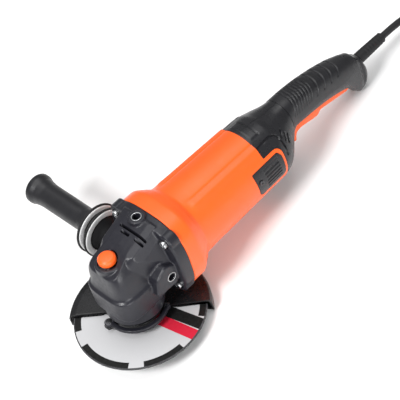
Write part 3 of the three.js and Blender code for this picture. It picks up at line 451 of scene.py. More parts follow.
def ring_at(stations, x, push=None, sides=192, inset=0.0):
    """A superellipse section at x, whose points push(x, z, angle) moves out."""
    top, bottom, half, power = (monotone(stations, column, x) for column in (1, 2, 3, 4))
    middle, height = (top + bottom) / 2, (top - bottom) / 2
    ring = []
    for i in range(sides):
        share = math.tau * (i + 0.5) / sides
        across = signed_power(math.cos(share), 2 / power)
        up = signed_power(math.sin(share), 2 / power)
        y, z = half * across, middle + height * up
        normal = Vector((signed_power(across, power - 1) / half, signed_power(up, power - 1) / height))
        normal.normalize()
        angle = math.degrees(math.atan2(z - MOTOR_HEIGHT, y)) % 360
        out = (push(x, z, angle) if push else 0) - inset
        ring.append((x, y + normal.x * out, z + normal.y * out))
    return ring


def body_along_x(stations, start, end, step, push=None, sides=96, inset=0.0, edge=0.0):
    """A lofted body between two values of x."""
    count = max(2, round((end - start - 2 * edge) / step))
    places = [(start + edge + (end - start - 2 * edge) * k / count, 0) for k in range(count + 1)]
    if edge:
        places = ([(start, edge), (start + edge * 0.3, edge * 0.3)] + places
                  + [(end - edge * 0.3, edge * 0.3), (end, edge)])
    return skin([ring_at(stations, x, push, sides, inset + less) for x, less in places])


def body_up_z(stations, step, sides=160):
    """A body lofted up Z through stations (z, length, half, power)."""
    start, end = stations[0][0], stations[-1][0]
    count = round((end - start) / step)
    rings = []
    for k in range(count + 1):
        z = start + (end - start) * k / count
        length, half, power = (monotone(stations, column, z) for column in (1, 2, 3))
        rings.append([(length * signed_power(math.cos(math.tau * i / sides), 2 / power),
                       half * signed_power(math.sin(math.tau * i / sides), 2 / power), z)
                      for i in range(sides)])
    return skin(rings)


def ramp(low, high, value):
    """0 below low, 1 above high, and a smooth climb between them."""
    t = min(max((value - low) / (high - low), 0), 1)
    return t * t * (3 - 2 * t)


def window(low, high, soft, value):
    """1 between low and high and 0 outside them, with soft edges."""
    return ramp(low - soft, low + soft, value) * (1 - ramp(high - soft, high + soft, value))


def distance_to_path(u, v, path):
    """The shortest distance from (u, v) to a path."""
    point = Vector((u, v))
    best = 1e9
    for a, b in zip(path, path[1:]):
        a, b = Vector(a), Vector(b)
        along = b - a
        t = min(max((point - a).dot(along) / along.length_squared, 0), 1)
        best = min(best, (a + along * t - point).length)
    return best


# ---- materials

class Shade:
    """A material under construction: its Principled shader and a few ways to feed it."""

    def __init__(self, name, color, roughness, metallic=0.0):
        self.color, self.roughness = color, roughness
        self.material = bpy.data.materials.new(name)
        self.material.use_nodes = True
        self.tree = self.material.node_tree
        self.coordinates = self.node("TexCoord").outputs["Object"]
        self.set(Base_Color=(*color, 1), Roughness=roughness, Metallic=metallic)

    def plug(self, target, value):
        """Links or sets one input."""
        if isinstance(value, bpy.types.NodeSocket):
            self.tree.links.new(value, target)
        else:
            target.default_value = value

    def node(self, kind, **values):
        """A new node, with its inputs named with _ for a space."""
        node = self.tree.nodes.new("ShaderNode" + kind)
        for name, value in values.items():
            self.plug(node.inputs[name.replace("_", " ")], value)
        return node

    def set(self, **values):
        """Inputs of the shader itself."""
        for name, value in values.items():
            self.plug(self.tree.nodes["Principled BSDF"].inputs[name.replace("_", " ")], value)

    def noise(self, scale, detail=2.0, stretch=(1, 1, 1)):
        mapping = self.node("Mapping", Scale=stretch, Vector=self.coordinates)
        noise = self.node("TexNoise", Scale=scale, Detail=detail, Vector=mapping.outputs["Vector"])
        return noise.outputs["Fac"]

    def cells(self, scale):
        return self.node("TexVoronoi", Scale=scale, Vector=self.coordinates).outputs["Distance"]

    def math(self, operation, a, b=0.0):
        node = self.node("Math")
        node.operation = operation
        for target, value in zip(node.inputs, (a, b)):
            self.plug(target, value)
        return node.outputs["Value"]

    def spread(self, value, low, high):
        """The middle range of a 0 to 1 value, spread over low to high."""
        node = self.node("MapRange", From_Min=0.3, From_Max=0.7, To_Min=low, To_Max=high, Value=value)
        return node.outputs["Result"]

    def mix(self, factor, a, b):
        node = self.node("Mix", Factor=factor)
        node.data_type = "RGBA"
        for name, value in (("A", a), ("B", b)):
            target = next(s for s in node.inputs if s.name == name and s.type == "RGBA")
            self.plug(target, (*value, 1) if isinstance(value, tuple) else value)
        return next(s for s in node.outputs if s.type == "RGBA")

    def tones(self, value, dark, light):
        """The base colour, from a darker to a lighter share of itself."""
        return self.mix(self.spread(value, 0, 1), shaded(self.color, dark), shaded(self.color, light))

    def sheen(self, value, less, more):
        """A roughness that varies from less under to more over its own."""
        return self.spread(value, self.roughness - less, self.roughness + more)

    def bump(self, height, depth, strength=1.0):
        node = self.node("Bump", Distance=depth * MM, Strength=strength, Height=height)
        return node.outputs["Normal"]


def shaded(color, share):
    """A colour made darker, or lighter where the share is over 1."""
    return tuple(value * share for value in color)


def moulded(name, color, roughness, grain, depth, uneven=0.12, coat=0.0):
    """Moulded plastic or rubber with a fine grain, slightly uneven in colour and sheen."""
    shade = Shade(name, color, roughness)
    shade.set(Base_Color=shade.tones(shade.noise(22, 3), 1 - uneven, 1 + uneven),
              Roughness=shade.sheen(shade.noise(140, 2), 0.05, 0.06),
              Normal=shade.bump(shade.cells(grain), depth),
              Specular_IOR_Level=0.4, Coat_Weight=coat, Coat_Roughness=0.25)
    return shade.material


def painted_casting(name, color, roughness):
    """Die-cast alloy under satin paint, with orange peel and worn edges."""
    shade = Shade(name, color, roughness)
    pointiness = shade.node("NewGeometry").outputs["Pointiness"]
    worn = shade.math("MULTIPLY", shade.math("SUBTRACT", pointiness, 0.56), 6)
    worn = shade.math("MINIMUM", shade.math("MAXIMUM", worn, 0), 0.35)
    shade.set(Base_Color=shade.mix(worn, shade.tones(shade.noise(30, 4), 0.88, 1.1), (0.3, 0.3, 0.32)),
              Roughness=shade.sheen(shade.noise(260, 3), 0.07, 0.07),
              Normal=shade.bump(shade.noise(900, 3), 0.10, 0.7), Specular_IOR_Level=0.35)
    return shade.material


def enamelled_sheet(name, color, roughness):
    """Pressed sheet under enamel, with faint drawing marks."""
    shade = Shade(name, color, roughness)
    shade.set(Base_Color=shade.tones(shade.noise(60, 4), 0.8, 1.3),
              Roughness=shade.sheen(shade.noise(220, 3, (1, 6, 1)), 0.08, 0.1),
              Normal=shade.bump(shade.noise(500, 4), 0.02, 0.5), Specular_IOR_Level=0.35)
    return shade.material


def bare_metal(name, color, roughness, stretch=(1, 1, 1), metallic=1.0):
    """Bare or plated metal with fine machining marks."""
    shade = Shade(name, color, roughness, metallic)
    marks = shade.noise(700, 3, stretch)
    shade.set(Base_Color=shade.tones(shade.noise(90, 3), 0.86, 1),
              Roughness=shade.sheen(marks, 0.08, 0.1), Normal=shade.bump(marks, 0.02, 0.5))
    return shade.material


def layered(name, look, scale, stretch, dark, light, depth):
    """Wound wire or stacked sheets. The look is colour, roughness and metallic."""
    shade = Shade(name, *look)
    layers = shade.noise(scale, 1, stretch)
    shade.set(Base_Color=shade.mix(shade.spread(layers, 0, 1), dark, light), Normal=shade.bump(layers, depth))
    return shade.material


def wheel_face(name):
    """Resin-bonded abrasive with a label of plain bands and blocks."""
    shade = Shade(name, LABEL_GREY, 0.55)
    work_out = shade.math
    split = shade.node("SeparateXYZ", Vector=shade.coordinates)
    x, y, z = (work_out("DIVIDE", split.outputs[axis], MM) for axis in "XYZ")

    def above(value, limit):
        return work_out("GREATER_THAN", value, limit)

    def below(value, limit):
        return work_out("LESS_THAN", value, limit)

    def either(a, b):
        return work_out("MAXIMUM", a, b)

    def times(a, b):
        return work_out("MULTIPLY", a, b)

    def strip(start, direction, half_width):
        dx, dy = direction
        length = math.hypot(dx, dy)
        dx, dy = dx / length, dy / length
        from_x, from_y = work_out("SUBTRACT", x, start[0]), work_out("SUBTRACT", y, start[1])
        along = work_out("ADD", times(from_x, dx), times(from_y, dy))
        across = work_out("ADD", times(from_x, -dy), times(from_y, dx))
        return times(above(along, 0), below(work_out("ABSOLUTE", across), half_width))

    radius = work_out("SQRT", work_out("ADD", times(x, x), times(y, y)))
    angle = work_out("DEGREES", work_out("ARCTAN2", y, x))
    angle = work_out("MODULO", work_out("ADD", angle, 360), 360)
    blocks = either(above(angle, 301), below(angle, 147))
    for start, end in ((164.5, 216), (229.6, 266.4)):
        blocks = either(blocks, times(above(angle, start), below(angle, end)))
    blocks = times(blocks, above(radius, LABEL_BORDER))
    label = shade.mix(blocks, LABEL_GREY, LABEL_BLACK)
    label = shade.mix(strip((5.6, -24), (8.9, -48.6), 6.6), label, LABEL_RED)
    label = shade.mix(strip((18.5, -22), (10.9, -48), 7.0), label, LABEL_BLACK)
    paper = shade.mix(shade.spread(shade.noise(300, 3), 0, 0.025), label, LABEL_SCUFF)
    grit = shade.mix(shade.spread(shade.cells(1400), 0, 1), shaded(GRIT, 0.5), shaded(GRIT, 2.4))
    on_label = times(above(z, -0.4), below(radius, LABEL_RADIUS))
    shade.set(Base_Color=shade.mix(on_label, grit, paper), Specular_IOR_Level=0.12,
              Normal=shade.bump(shade.cells(1500), 0.12, 0.6))
    return shade.material


MATERIALS = {
    "cast": painted_casting("cast_paint", (0.0135, 0.0135, 0.0185), 0.36),
    "orange": moulded("orange_plastic", (0.88, 0.108, 0.012), 0.36, 2600, 0.03, 0.04, coat=0.1),
    "black": moulded("black_plastic", (0.013, 0.013, 0.015), 0.28, 2200, 0.03),
    "grip": moulded("grip_rubber", (0.011, 0.011, 0.013), 0.4, 1700, 0.05),
    "rubber": moulded("black_rubber", (0.007, 0.007, 0.008), 0.6, 1500, 0.08),
    "cord": moulded("cord_sheath", (0.014, 0.014, 0.015), 0.5, 900, 0.05),
    "enamel": enamelled_sheet("black_enamel", (0.009, 0.009, 0.010), 0.3),
    "zinc": bare_metal("zinc_plate", (0.62, 0.63, 0.64), 0.3),
    "steel": bare_metal("ground_steel", (0.55, 0.56, 0.58), 0.25, (1, 1, 8)),
    "dark_steel": bare_metal("blackened_steel", (0.10, 0.10, 0.105), 0.38),
    # Chrome trim made as a near-white non-metal: its brightness is a painted reflection of the white studio.
    "chrome": bare_metal("trim_painted_reflection", (0.97, 0.97, 0.97), 0.4, metallic=0),
    "brass": bare_metal("brass", (0.75, 0.52, 0.2), 0.3),
    "carbon": moulded("pressed_carbon", (0.02, 0.02, 0.02), 0.6, 1800, 0.05),
    "natural": moulded("natural_plastic", (0.55, 0.52, 0.45), 0.5, 2000, 0.04),
    "copper": layered("copper_wire", (COPPER, 0.3, 0.8), 900, (0.15, 1, 1), shaded(COPPER, 0.6),
                      shaded(COPPER, 1.25), 0.2),
    "lamination": layered("laminated_steel", ((0.3, 0.3, 0.31), 0.45, 0.9), 2600, (1, 0.02, 0.02),
                          (0.16, 0.16, 0.17), (0.36, 0.36, 0.37), 0.1),
    "wheel": wheel_face("wheel_label"),
}

# ---- cord, coil and plug

def coil_points():
    """Turns in two layers, wound inwards and then back outwards."""
    radius_mm = CORD_RADIUS * MM
    heights = [radius_mm + COIL_LIFT] * 3 + [3 * radius_mm + COIL_LIFT] * 3
    points = []
    for turn_number, (radius, height) in enumerate(zip(COIL_RADII, heights)):
        following = min(turn_number + 1, len(COIL_RADII) - 1)
        for k in range(TURN_STEPS):
            share = ramp(0.82, 1.0, k / TURN_STEPS)
            r = radius + (COIL_RADII[following] - radius) * share
            z = height + (heights[following] - height) * share
            angle = math.pi / 2 - math.tau * k / TURN_STEPS
            points.append((COIL_CENTRE[0] + r * math.cos(angle), COIL_CENTRE[1] + r * math.sin(angle), z))
    points.append((COIL_CENTRE[0], COIL_CENTRE[1] + COIL_RADII[-1], heights[-1]))
    return points


def make_cord():
    """The cord, as one line from the strain relief round its coil and into its plug."""
    leaving = TOOL @ (Vector((RELIEF_END + GAP, 0, RELIEF_Z)) * MM)
    plug_end = (COIL_CENTRE[0] + PLUG_GAP, CORD_ROUTE[0][1], (PLUG_HEIGHT / 2 + GAP) * MM)
    points = [tuple(leaving), *CORD_ROUTE, *coil_points(), plug_end]
    curve = bpy.data.curves.new("power_cord_line", "CURVE")
    curve.dimensions = "3D"
    curve.bevel_depth = CORD_RADIUS * MM
    curve.bevel_resolution = 5
    curve.use_fill_caps = True
    spline = curve.splines.new("BEZIER")
    spline.bezier_points.add(len(points) - 1)
    for knot, point in zip(spline.bezier_points, points):
        knot.co = point
        knot.handle_left_type = knot.handle_right_type = "AUTO"
    curve.resolution_u = 4
    curve.materials.append(MATERIALS["cord"])
    cord = placed("power_cord_line", curve)
    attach(cord, "tool")
    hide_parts("power_cord", "cord_coil")
    plug, pins = make_plug(plug_end)
    tie = make_tie()


def make_plug(place):
    """A flat plug and its two pins."""
    half_height, half_width, edge = PLUG_HEIGHT / 2, PLUG_WIDTH / 2, 1.2
    body = body_up_z([
        (0, 5.2, 5.2, 2), (3, 5.6, 5.6, 2), (9, 7.5, 6.6, 2.2), (15, 10.8, 11.5, 2.6),
        (23, half_height, 17.2, 3.2), (PLUG_LENGTH - 1.5, half_height, half_width, 3.2),
        (PLUG_LENGTH, half_height - edge, half_width - edge, 3.2)], 0.6, 96)
    matrix = Matrix.Translation(place) @ ALONG_X
    plug = finished(body, "plug_moulding", "tool", "cord", "plug", matrix=matrix)
    pins = [move(rod(PIN_RADIUS, PLUG_LENGTH - 4, PLUG_LENGTH + PIN_LENGTH, edge), 0, side * PIN_SPACING / 2)
            for side in (-1, 1)]
    return plug, finished(gathered(*pins), "plug_pins", "tool", "brass", matrix=matrix)


def make_tie():
    """A strap round the turns of the coil."""
    reach = CORD_RADIUS + TIE_THICK + 0.05
    inner, outer = COIL_RADII[2] / MM - reach, COIL_RADII[0] / MM + reach
    low = COIL_LIFT / MM - TIE_THICK
    high = COIL_LIFT / MM + 4 * CORD_RADIUS + TIE_THICK

    def loop(margin):
        return oblong(inner + margin, low + margin, outer - margin, high - margin, 3)

    half = TIE_WIDTH / 2
    strap = cut(prism(loop(0), -half, half, 0.2), prism(loop(TIE_THICK), -half - 2, half + 2))
    upright = (Matrix.Translation((*COIL_CENTRE, 0)) @ Matrix.Rotation(math.radians(-90), 4, "Z")
               @ Matrix.Rotation(math.radians(90), 4, "X"))
    return finished(strap, "cord_tie", "tool", "cord", matrix=upright)


make_camera()
make_cord()

# ---- gear head

def plateau_height(x):
    """The height of the head's plateau at x."""
    return PLATEAU_Z + PLATEAU_SLOPE * (x - PLATEAU_X)


def above_roof(side):
    """Everything above the roof on one side."""
    rings = []
    for x in (-REACH, REACH):
        level = plateau_height(x)
        rings.append([(x, side * out, level - fall) for out, fall in ROOF]
                     + [(x, side * REACH, 3 * REACH), (x, 0, 3 * REACH)])
    return skin(rings)


def above_brow():
    """Everything above the brow."""
    brow = plateau_height(BROW_X)
    return slab([(-REACH, brow - BROW_SLOPE * (BROW_X + REACH)), (BROW_X, brow), (BROW_X, 3 * REACH),
                 (-REACH, 3 * REACH)], -REACH, REACH)


def under_roof(work):
    """A body cut down to the roof and brow."""
    return cut(work, above_roof(-1), above_roof(1), above_brow())


def case_outside():
    """The casting's outside, with bosses for screws and side handle."""
    head = under_roof(body_up_z(HEAD_STATIONS, 0.8))
    tunnel = under_roof(body_along_x(TUNNEL_STATIONS, -4, 42, 1.0, sides=160))
    collar = move(rod(15, 88, PLATEAU_Z - 2.6), PLATEAU_X)
    flange = body_along_x(CASE_FLANGE_STATIONS, 37, JOINT_FACE - GAP, 0.8, sides=160)
    lobes = [bar_x(10.6, 38.2, JOINT_FACE - GAP, y, z, 1) for y, z in CASE_SCREWS]
    top_boss = move(rod(9.6, 100, TOP_BOSS_FACE, 0.8), TOP_BOSS_X)
    pads = [slab(SIDE_PAD, *span, 2.2) for span in ((20, SIDE_BOSS_FACE), (-SIDE_BOSS_FACE, -20))]
    return melted(gathered(head, tunnel, collar, flange, top_boss, *lobes, *pads), 0.8, 3)


def case_slot(x, low, high):
    """The cutter for a vent slot in the plateau."""
    level = plateau_height(x)
    return prism(oblong(x - 1.5, low, x + 1.5, high, 1.2), level - 14, level + 6)


def gear_case():
    """The hollow casting, with tapped holes, screw pockets and slots."""
    case = case_outside()
    chamber = turned([(0, 20), (30, 20), (30, 66), (23, 68), (21, 80), (14, 89), (0, 89)], 64)
    bearing_seat = bar_x(14.3, 36, 60, 0, MOTOR_HEIGHT)
    passage = bar_x(11.5, 0, 38, 0, MOTOR_HEIGHT)
    recess = move(rod(BUTTON_RADIUS + 1.9, PLATEAU_Z - 6.8, 125), PLATEAU_X)
    well = move(rod(6.5, 87, 120), PLATEAU_X)
    threads = [move(rod(THREAD_RADIUS, TOP_BOSS_FACE - THREAD_DEPTH, 140), TOP_BOSS_X)]
    threads += [bar_y(THREAD_RADIUS, *span, SIDE_BOSS_X, SIDE_BOSS_Z)
                for span in ((SIDE_BOSS_FACE - THREAD_DEPTH, 60), (-60, -SIDE_BOSS_FACE + THREAD_DEPTH))]
    pockets = [bar_x(6.4, 15, CASE_SCREW_FACE + 4.2, y, z, 0.8) for y, z in CASE_SCREWS]
    slots = [case_slot(*slot) for slot in CASE_SLOTS]
    case = cut(case, chamber, passage, bearing_seat, recess, well, gathered(*threads),
               gathered(*pockets), gathered(*slots))
    finished(case, "gear_case_casting", "tool", "cast", "gear_case", sharp=40)


def machined_seats():
    """Bright rims of the tapped holes for the side handle."""
    profile = [(THREAD_RADIUS, -1.2), (THREAD_RADIUS + 1.4, -1.2), (THREAD_RADIUS + 1.6, 0.25, 0.2),
               (THREAD_RADIUS + 0.9, 0.25, 0.2)]
    seats = [move(turned(profile, 64, closed=True), TOP_BOSS_X, 0, TOP_BOSS_FACE)]
    for matrix, y in ((ALONG_Y, SIDE_BOSS_FACE), (ALONG_Y.inverted(), -SIDE_BOSS_FACE)):
        seats.append(move(turn(turned(profile, 64, closed=True), matrix), SIDE_BOSS_X, y, SIDE_BOSS_Z))
    finished(gathered(*seats), "side_handle_threads", "tool", "zinc")


def socket_screw(head_radius, head_height, shank_radius, length, socket_radius):
    """A screw with a six-sided socket, its head towards -Z."""
    screw = turned([(0, 0), (head_radius, 0, 0.7), (head_radius, head_height, 0.3),
                    (shank_radius, head_height, 0.3), (shank_radius, length), (0, length)], 48)
    return cut(screw, rod(socket_radius, -1, head_height * 0.55, sides=6))


def case_screws():
    for number, (y, z) in enumerate(CASE_SCREWS, 1):
        screw = move(turn(socket_screw(4.6, 3.9, 2, 30, 2.7), ALONG_X), CASE_SCREW_FACE, y, z)
        finished(screw, f"case_screw_{number}", "tool", "zinc", f"gear_case_screw_{number}")


def lock_button():
    """The domed button, with a hole for its pin."""
    low = PLATEAU_Z - 1.5
    cap = turned([(0, low - 5.3), (5.6, low - 5.3), (5.6, low), (BUTTON_RADIUS, low, 0.8),
                  (BUTTON_RADIUS, low + 5.2, 1.6), (7.8, low + 7.4, 1.5), (0, low + 8.1)], 72)
    cap = move(cut(cap, rod(2.8, low - 6, low + 3)), PLATEAU_X)
    finished(cap, "lock_button_cap", "spindle_lock", "orange", "lock_button")


def bearing_flange():
    """The cover and the neck that the guard turns on."""
    top = RIM_HEIGHT - GAP
    body = turned([(13.4, 3, 0.3), (NECK_RADIUS, 3, 0.5), (NECK_RADIUS, 21, 0.8), (33.4, 21, 1.2),
                   (33.4, top, 0.4), (29.5, top), (29.5, 34.7, 0.4), (17.8, 34.7, 0.3),
                   (17.8, 11), (13.4, 11)], closed=True)
    finished(body, "bearing_flange_casting", "tool", "cast", "bearing_flange")


# ---- wheel, nuts and spindle

def wheel():
    disc = tube(WHEEL_BORE, WHEEL_RADIUS, -WHEEL_THICKNESS, 0, 0.3, 256)
    finished(disc, "abrasive_wheel", "spindle", "wheel", "grinding_wheel")


def inner_flange():
    """The flange above the wheel, which centres it."""
    bore = SPINDLE_RADIUS + GAP
    flange = turned([(bore, -1.4, 0.2), (WHEEL_BORE - GAP, -1.4, 0.3), (WHEEL_BORE - GAP, GAP, 0.2),
                     (20.5, GAP, 0.3), (20.5, 2.5, 0.7), (12, 2.5, 1), (12, 8.1, 0.5), (bore, 8.1, 0.4)],
                    closed=True)
    finished(flange, "clamping_flange", "spindle", "steel", "inner_flange")


def lock_nut():
    """The round nut under the wheel, with four holes for its spanner."""
    bore, top = SPINDLE_RADIUS + GAP, -WHEEL_THICKNESS - GAP
    nut = turned([(bore, top, 0.3), (20, top, 0.5), (20, top - 3.5, 0.8), (17, top - 6.5, 0.6),
                  (bore, top - 6.5, 0.5)], closed=True)
    holes = [turn(move(rod(2.5, top - 8, top - 3, sides=24), 14), Matrix.Rotation(math.tau * k / 4, 4, "Z"))
             for k in range(4)]
    finished(cut(nut, gathered(*holes)), "spanner_nut", "spindle", "dark_steel", "lock_nut")


def spindle():
    """Threaded at its lower end and stepped for its bearings."""
    outline = [(0, SPINDLE_END)]
    for k in range(11):
        root = SPINDLE_END + 0.5 + SPINDLE_PITCH * k
        outline += [(SPINDLE_RADIUS - 0.9, root), (SPINDLE_RADIUS, root + SPINDLE_PITCH / 2)]
    outline += [(SPINDLE_RADIUS, 8.4), (9.5, 8.4), (9.5, 11), (7.5, 11), (7.5, 37), (7, 37), (7, 58), (4, 58),
                (4, 85), (0, 85)]
    finished(turned(outline, 64), "output_spindle", "spindle", "steel", "spindle", slot="bearing_steel")


# ---- guard and its lever

def at_pivot(work):
    return move(work, *LEVER_PIVOT)


def guard():
    """The cover, its band round the neck and its ear, with the lever's rivet."""
    band_inner, top, shoulder = NECK_RADIUS + 1, GUARD_PLATE + GUARD_SHEET, GUARD_PLATE - 3.5
    inside = GUARD_RADIUS - GUARD_SHEET
    profile = [(band_inner, GUARD_PLATE), (band_inner, top, 0.4), (GUARD_RADIUS - 9, top, 3),
               (GUARD_RADIUS - 2, top - 0.9, 2.6), (GUARD_RADIUS, shoulder, 3),
               (GUARD_RADIUS, GUARD_RIM, 0.5), (inside, GUARD_RIM, 0.5), (inside, shoulder, 1),
               (GUARD_RADIUS - 4, GUARD_PLATE, 1)]
    cover = swept(profile, GUARD_FROM, GUARD_TO, 120)
    bevel(cover, 0.4, 2, 70)
    band = tube(NECK_RADIUS + GAP, NECK_RADIUS + 3, GUARD_PLATE, 14, 0.6)
    ear = prism([(-25, 14, 2), (-25, 3), (-33, 3), (-40, 6, 2), (-40, 13, 2), (-35, 15, 2)], 6, 9, 0.4)
    ear = cut(ear, at_pivot(rod(RIVET_HOLE, 0, 20)))
    finished(gathered(cover, band, ear), "wheel_guard_pressing", "guard", "enamel", "wheel_guard",
             sharp=35)
    rivet = at_pivot(join(rod(3.2, 13.9, 15.2, 0.6), rod(1.5, 5, 14.5)))
    finished(rivet, "lever_rivet", "guard", "dark_steel", "guard_lever_rivet", slot="bright_steel")


def lever():
    """The lever that curves round the band."""
    arm = swept([(LEVER_INNER, LEVER_LOW, 1), (LEVER_OUTER, LEVER_LOW, 1), (LEVER_OUTER, LEVER_HIGH, 1.2),
                 (LEVER_INNER, LEVER_HIGH, 1.2)], LEVER_FROM, LEVER_TO, 60)
    eye = at_pivot(rod(5.2, LEVER_LOW, LEVER_HIGH, 0.9))
    middle, end = (LEVER_INNER + LEVER_OUTER) / 2, math.radians(LEVER_TO)
    tip = move(rod(3.6, LEVER_LOW - 1, LEVER_HIGH, 1.2), middle * math.cos(end), middle * math.sin(end))
    whole = cut(join(arm, eye, tip), at_pivot(rod(RIVET_HOLE, 0, 20)))
    finished(whole, "clamping_lever", "guard_lever", "cast", "guard_lever")


# ---- motor housing

def housing_push(x, z, angle):
    """A ridge and a fine line along each upper corner."""
    mirror = 180 - angle if angle < 90 else angle
    ridge = max(0, 1 - abs(mirror - CREASE) / 12) ** 1.4
    line = 1 - ramp(0.4, 1.1, abs(mirror - CREASE + 11))
    return (2.0 * ridge - 0.5 * line) * window(90, 400, 5, x)


def finger(margin):
    """A cutter for both fingers, larger by the margin."""
    end, low, high = FINGER_END + margin, FINGER_LOW - margin, FINGER_HIGH + margin
    return slab([(150, low), (end, low, FINGER_CORNER), (end, high, FINGER_CORNER), (150, high)], -60, 60)


def grown(points, margin):
    """An outline pushed away from its middle."""
    cx = sum(p[0] for p in points) / len(points)
    cy = sum(p[1] for p in points) / len(points)
    return [(x + math.copysign(margin, x - cx), y + math.copysign(margin, y - cy), r) for x, y, r in points]


def housing():
    """The orange barrel, with a pocket in each finger."""
    outer = body_along_x(HOUSING_STATIONS, JOINT_FACE, FINGER_END, 1.0, housing_push, 224, edge=0.5)
    shell = cut(outer, body_along_x(HOUSING_STATIONS, JOINT_FACE - 1, FINGER_END + 1, 6, inset=HOUSING_WALL))
    beyond = cut(block((HOUSING_END, -70, 0), (230, 70, 150)), finger(0))
    pockets = gathered(*(slab(grown(COVER, 0.4), *span) for span in SIDES.values()))
    core = body_along_x(HOUSING_STATIONS, JOINT_FACE, FINGER_END + 1, 6, inset=HOUSING_WALL - 0.8)
    pockets = cut(pockets, core)
    finished(cut(shell, beyond, pockets), "motor_housing_shell", "tool", "orange",
             "motor_housing", sharp=28)


def cover_push(x, z, angle):
    """Grooves across the middle of the cover."""
    if not 178 < x < 206:
        return COVER_PROUD
    ribs = sum(window(level - 0.9, level + 0.9, 0.35, z) for level in COVER_RIBS)
    return COVER_PROUD - 0.9 * ribs * window(181, 204, 0.8, x)


def brush_cover(name):
    """One brush cover and its screw."""
    outwards = ALONG_Y if name == "right" else ALONG_Y.inverted()
    panel = body_along_x(HOUSING_STATIONS, 160, 212, 0.6, cover_push, 320)
    core = body_along_x(HOUSING_STATIONS, 158, 214, 6, inset=1.7)
    panel = common(cut(panel, core), slab(COVER, *SIDES[name]))
    hole = bar_y(1.7, -60, 60, *COVER_SCREW, sides=24)
    finished(cut(panel, hole), f"brush_cover_panel_{name}", "tool", "black",
             f"brush_cover_{name}", sharp=30)
    screw = move(turn(socket_screw(3, 1.6, 1.4, 10, 1.4), UPSIDE_DOWN), 0, 0, 44.4)
    screw = move(turn(screw, outwards), COVER_SCREW[0], 0, COVER_SCREW[1])
    finished(screw, f"cover_screw_{name}", "tool", "dark_steel", f"brush_cover_screw_{name}")


# ---- rear handle

def on_collar(points):
    return [(x, angle * COLLAR_ARC) for x, angle in points]


def handle_push(x, z, angle):
    """Grooves on the collar: the tab's edge, a seam on top, and three vents."""
    if x > 240:
        return -1.8 * ramp(20, 50, z) * window(368.5, 373.5, 2, x)
    round_collar = (180 - angle if 0 <= angle <= 90 else angle) * COLLAR_ARC
    push = -1.8 * (1 - ramp(0.4, 1.5, distance_to_path(x, round_collar, on_collar(TAB))))
    if x > 216:
        for vent in VENTS:
            push -= 2.0 * (1 - ramp(0.6, 1.5, distance_to_path(x, round_collar, on_collar(vent))))
    band = window(68, 112, 1.0, angle)
    push -= 1.2 * band * (1 - ramp(0.5, 1.3, abs(x - 204)))
    return push + 0.7 * band * window(193, 203, 0.6, x)


def grip_side(margin):
    """A cutter with the grip's side outline, smaller by the margin."""
    front, rear, top = GRIP_FRONT + margin, GRIP_REAR - margin, GRIP_TOP + margin
    edge = [(x, z + margin, fillet) for x, z, fillet in GRIP_EDGE]
    return slab([(front, 83 + margin), *edge, (rear, 74 + margin), (rear, top), (front, top)], -40, 40)


def handle_shells():
    """The hollow handle in two halves, with a bed for its grip."""
    outer = body_along_x(HANDLE_STATIONS, HOUSING_END + GAP, HANDLE_END, 0.9, handle_push, 288, edge=0.6)
    cavity = [station for station in HANDLE_STATIONS if station[0] < CAVITY_END + 4]
    inner = body_along_x(cavity, HOUSING_END - 2, CAVITY_END, 5, sides=64, inset=2.3)
    bed = common(cut(body_along_x(HANDLE_STATIONS, 230, 372, 3, inset=-2),
                     body_along_x(HANDLE_STATIONS, 228, 374, 3, inset=1.3)), grip_side(0))
    slot = block((253.4, -TRIGGER_HALF - 0.6, 20), (350, TRIGGER_HALF + 0.6, 74))
    relief = bar_x(RELIEF_RADIUS + 0.4, 366, 395, 0, RELIEF_Z)
    room = bar_x(15.2, 150, 214, 0, MOTOR_HEIGHT)
    shell = cut(outer, inner, bed, finger(GAP), slot, relief, room)
    left = cut(duplicate(shell), block((150, -GAP / 2, 0), (420, 90, 160)))
    right = cut(shell, block((150, -90, 0), (420, GAP / 2, 160)))
    for work, name in ((left, "left"), (right, "right")):
        finished(work, f"handle_half_{name}", "tool", "black", f"handle_shell_{name}", sharp=30)


def grip_push(x, z, angle):
    """Fine grooves in front and broader ones behind, all bowed forwards."""
    place = x + 0.004 * (angle - 90) ** 2
    fine = max(1 - ramp(0.5, 1.2, abs(place - rib)) for rib in FINE_RIBS)
    broad = max(1 - ramp(0.7, 2.2, abs(place - rib)) for rib in BROAD_RIBS)
    return 0.35 - window(48, 132, 2, angle) * (0.75 * fine + 0.85 * broad)


def soft_grip():
    outer = body_along_x(HANDLE_STATIONS, 235, 370, 0.55, grip_push, 224)
    grip = common(cut(outer, body_along_x(HANDLE_STATIONS, 233, 372, 3, inset=1)), grip_side(GAP))
    finished(grip, "soft_grip_moulding", "tool", "grip", "soft_grip", sharp=38)


def trigger():
    """The paddle and the pin that it turns on."""
    paddle = slab(TRIGGER_OUTLINE, -TRIGGER_HALF, TRIGGER_HALF, 1.2)
    pin = bar_y(2, -TRIGGER_HALF - 1.6, TRIGGER_HALF + 1.6, *TRIGGER_PIVOT, 0.3)
    finished(join(paddle, pin), "paddle_trigger", "trigger", "orange", "trigger", sharp=30)


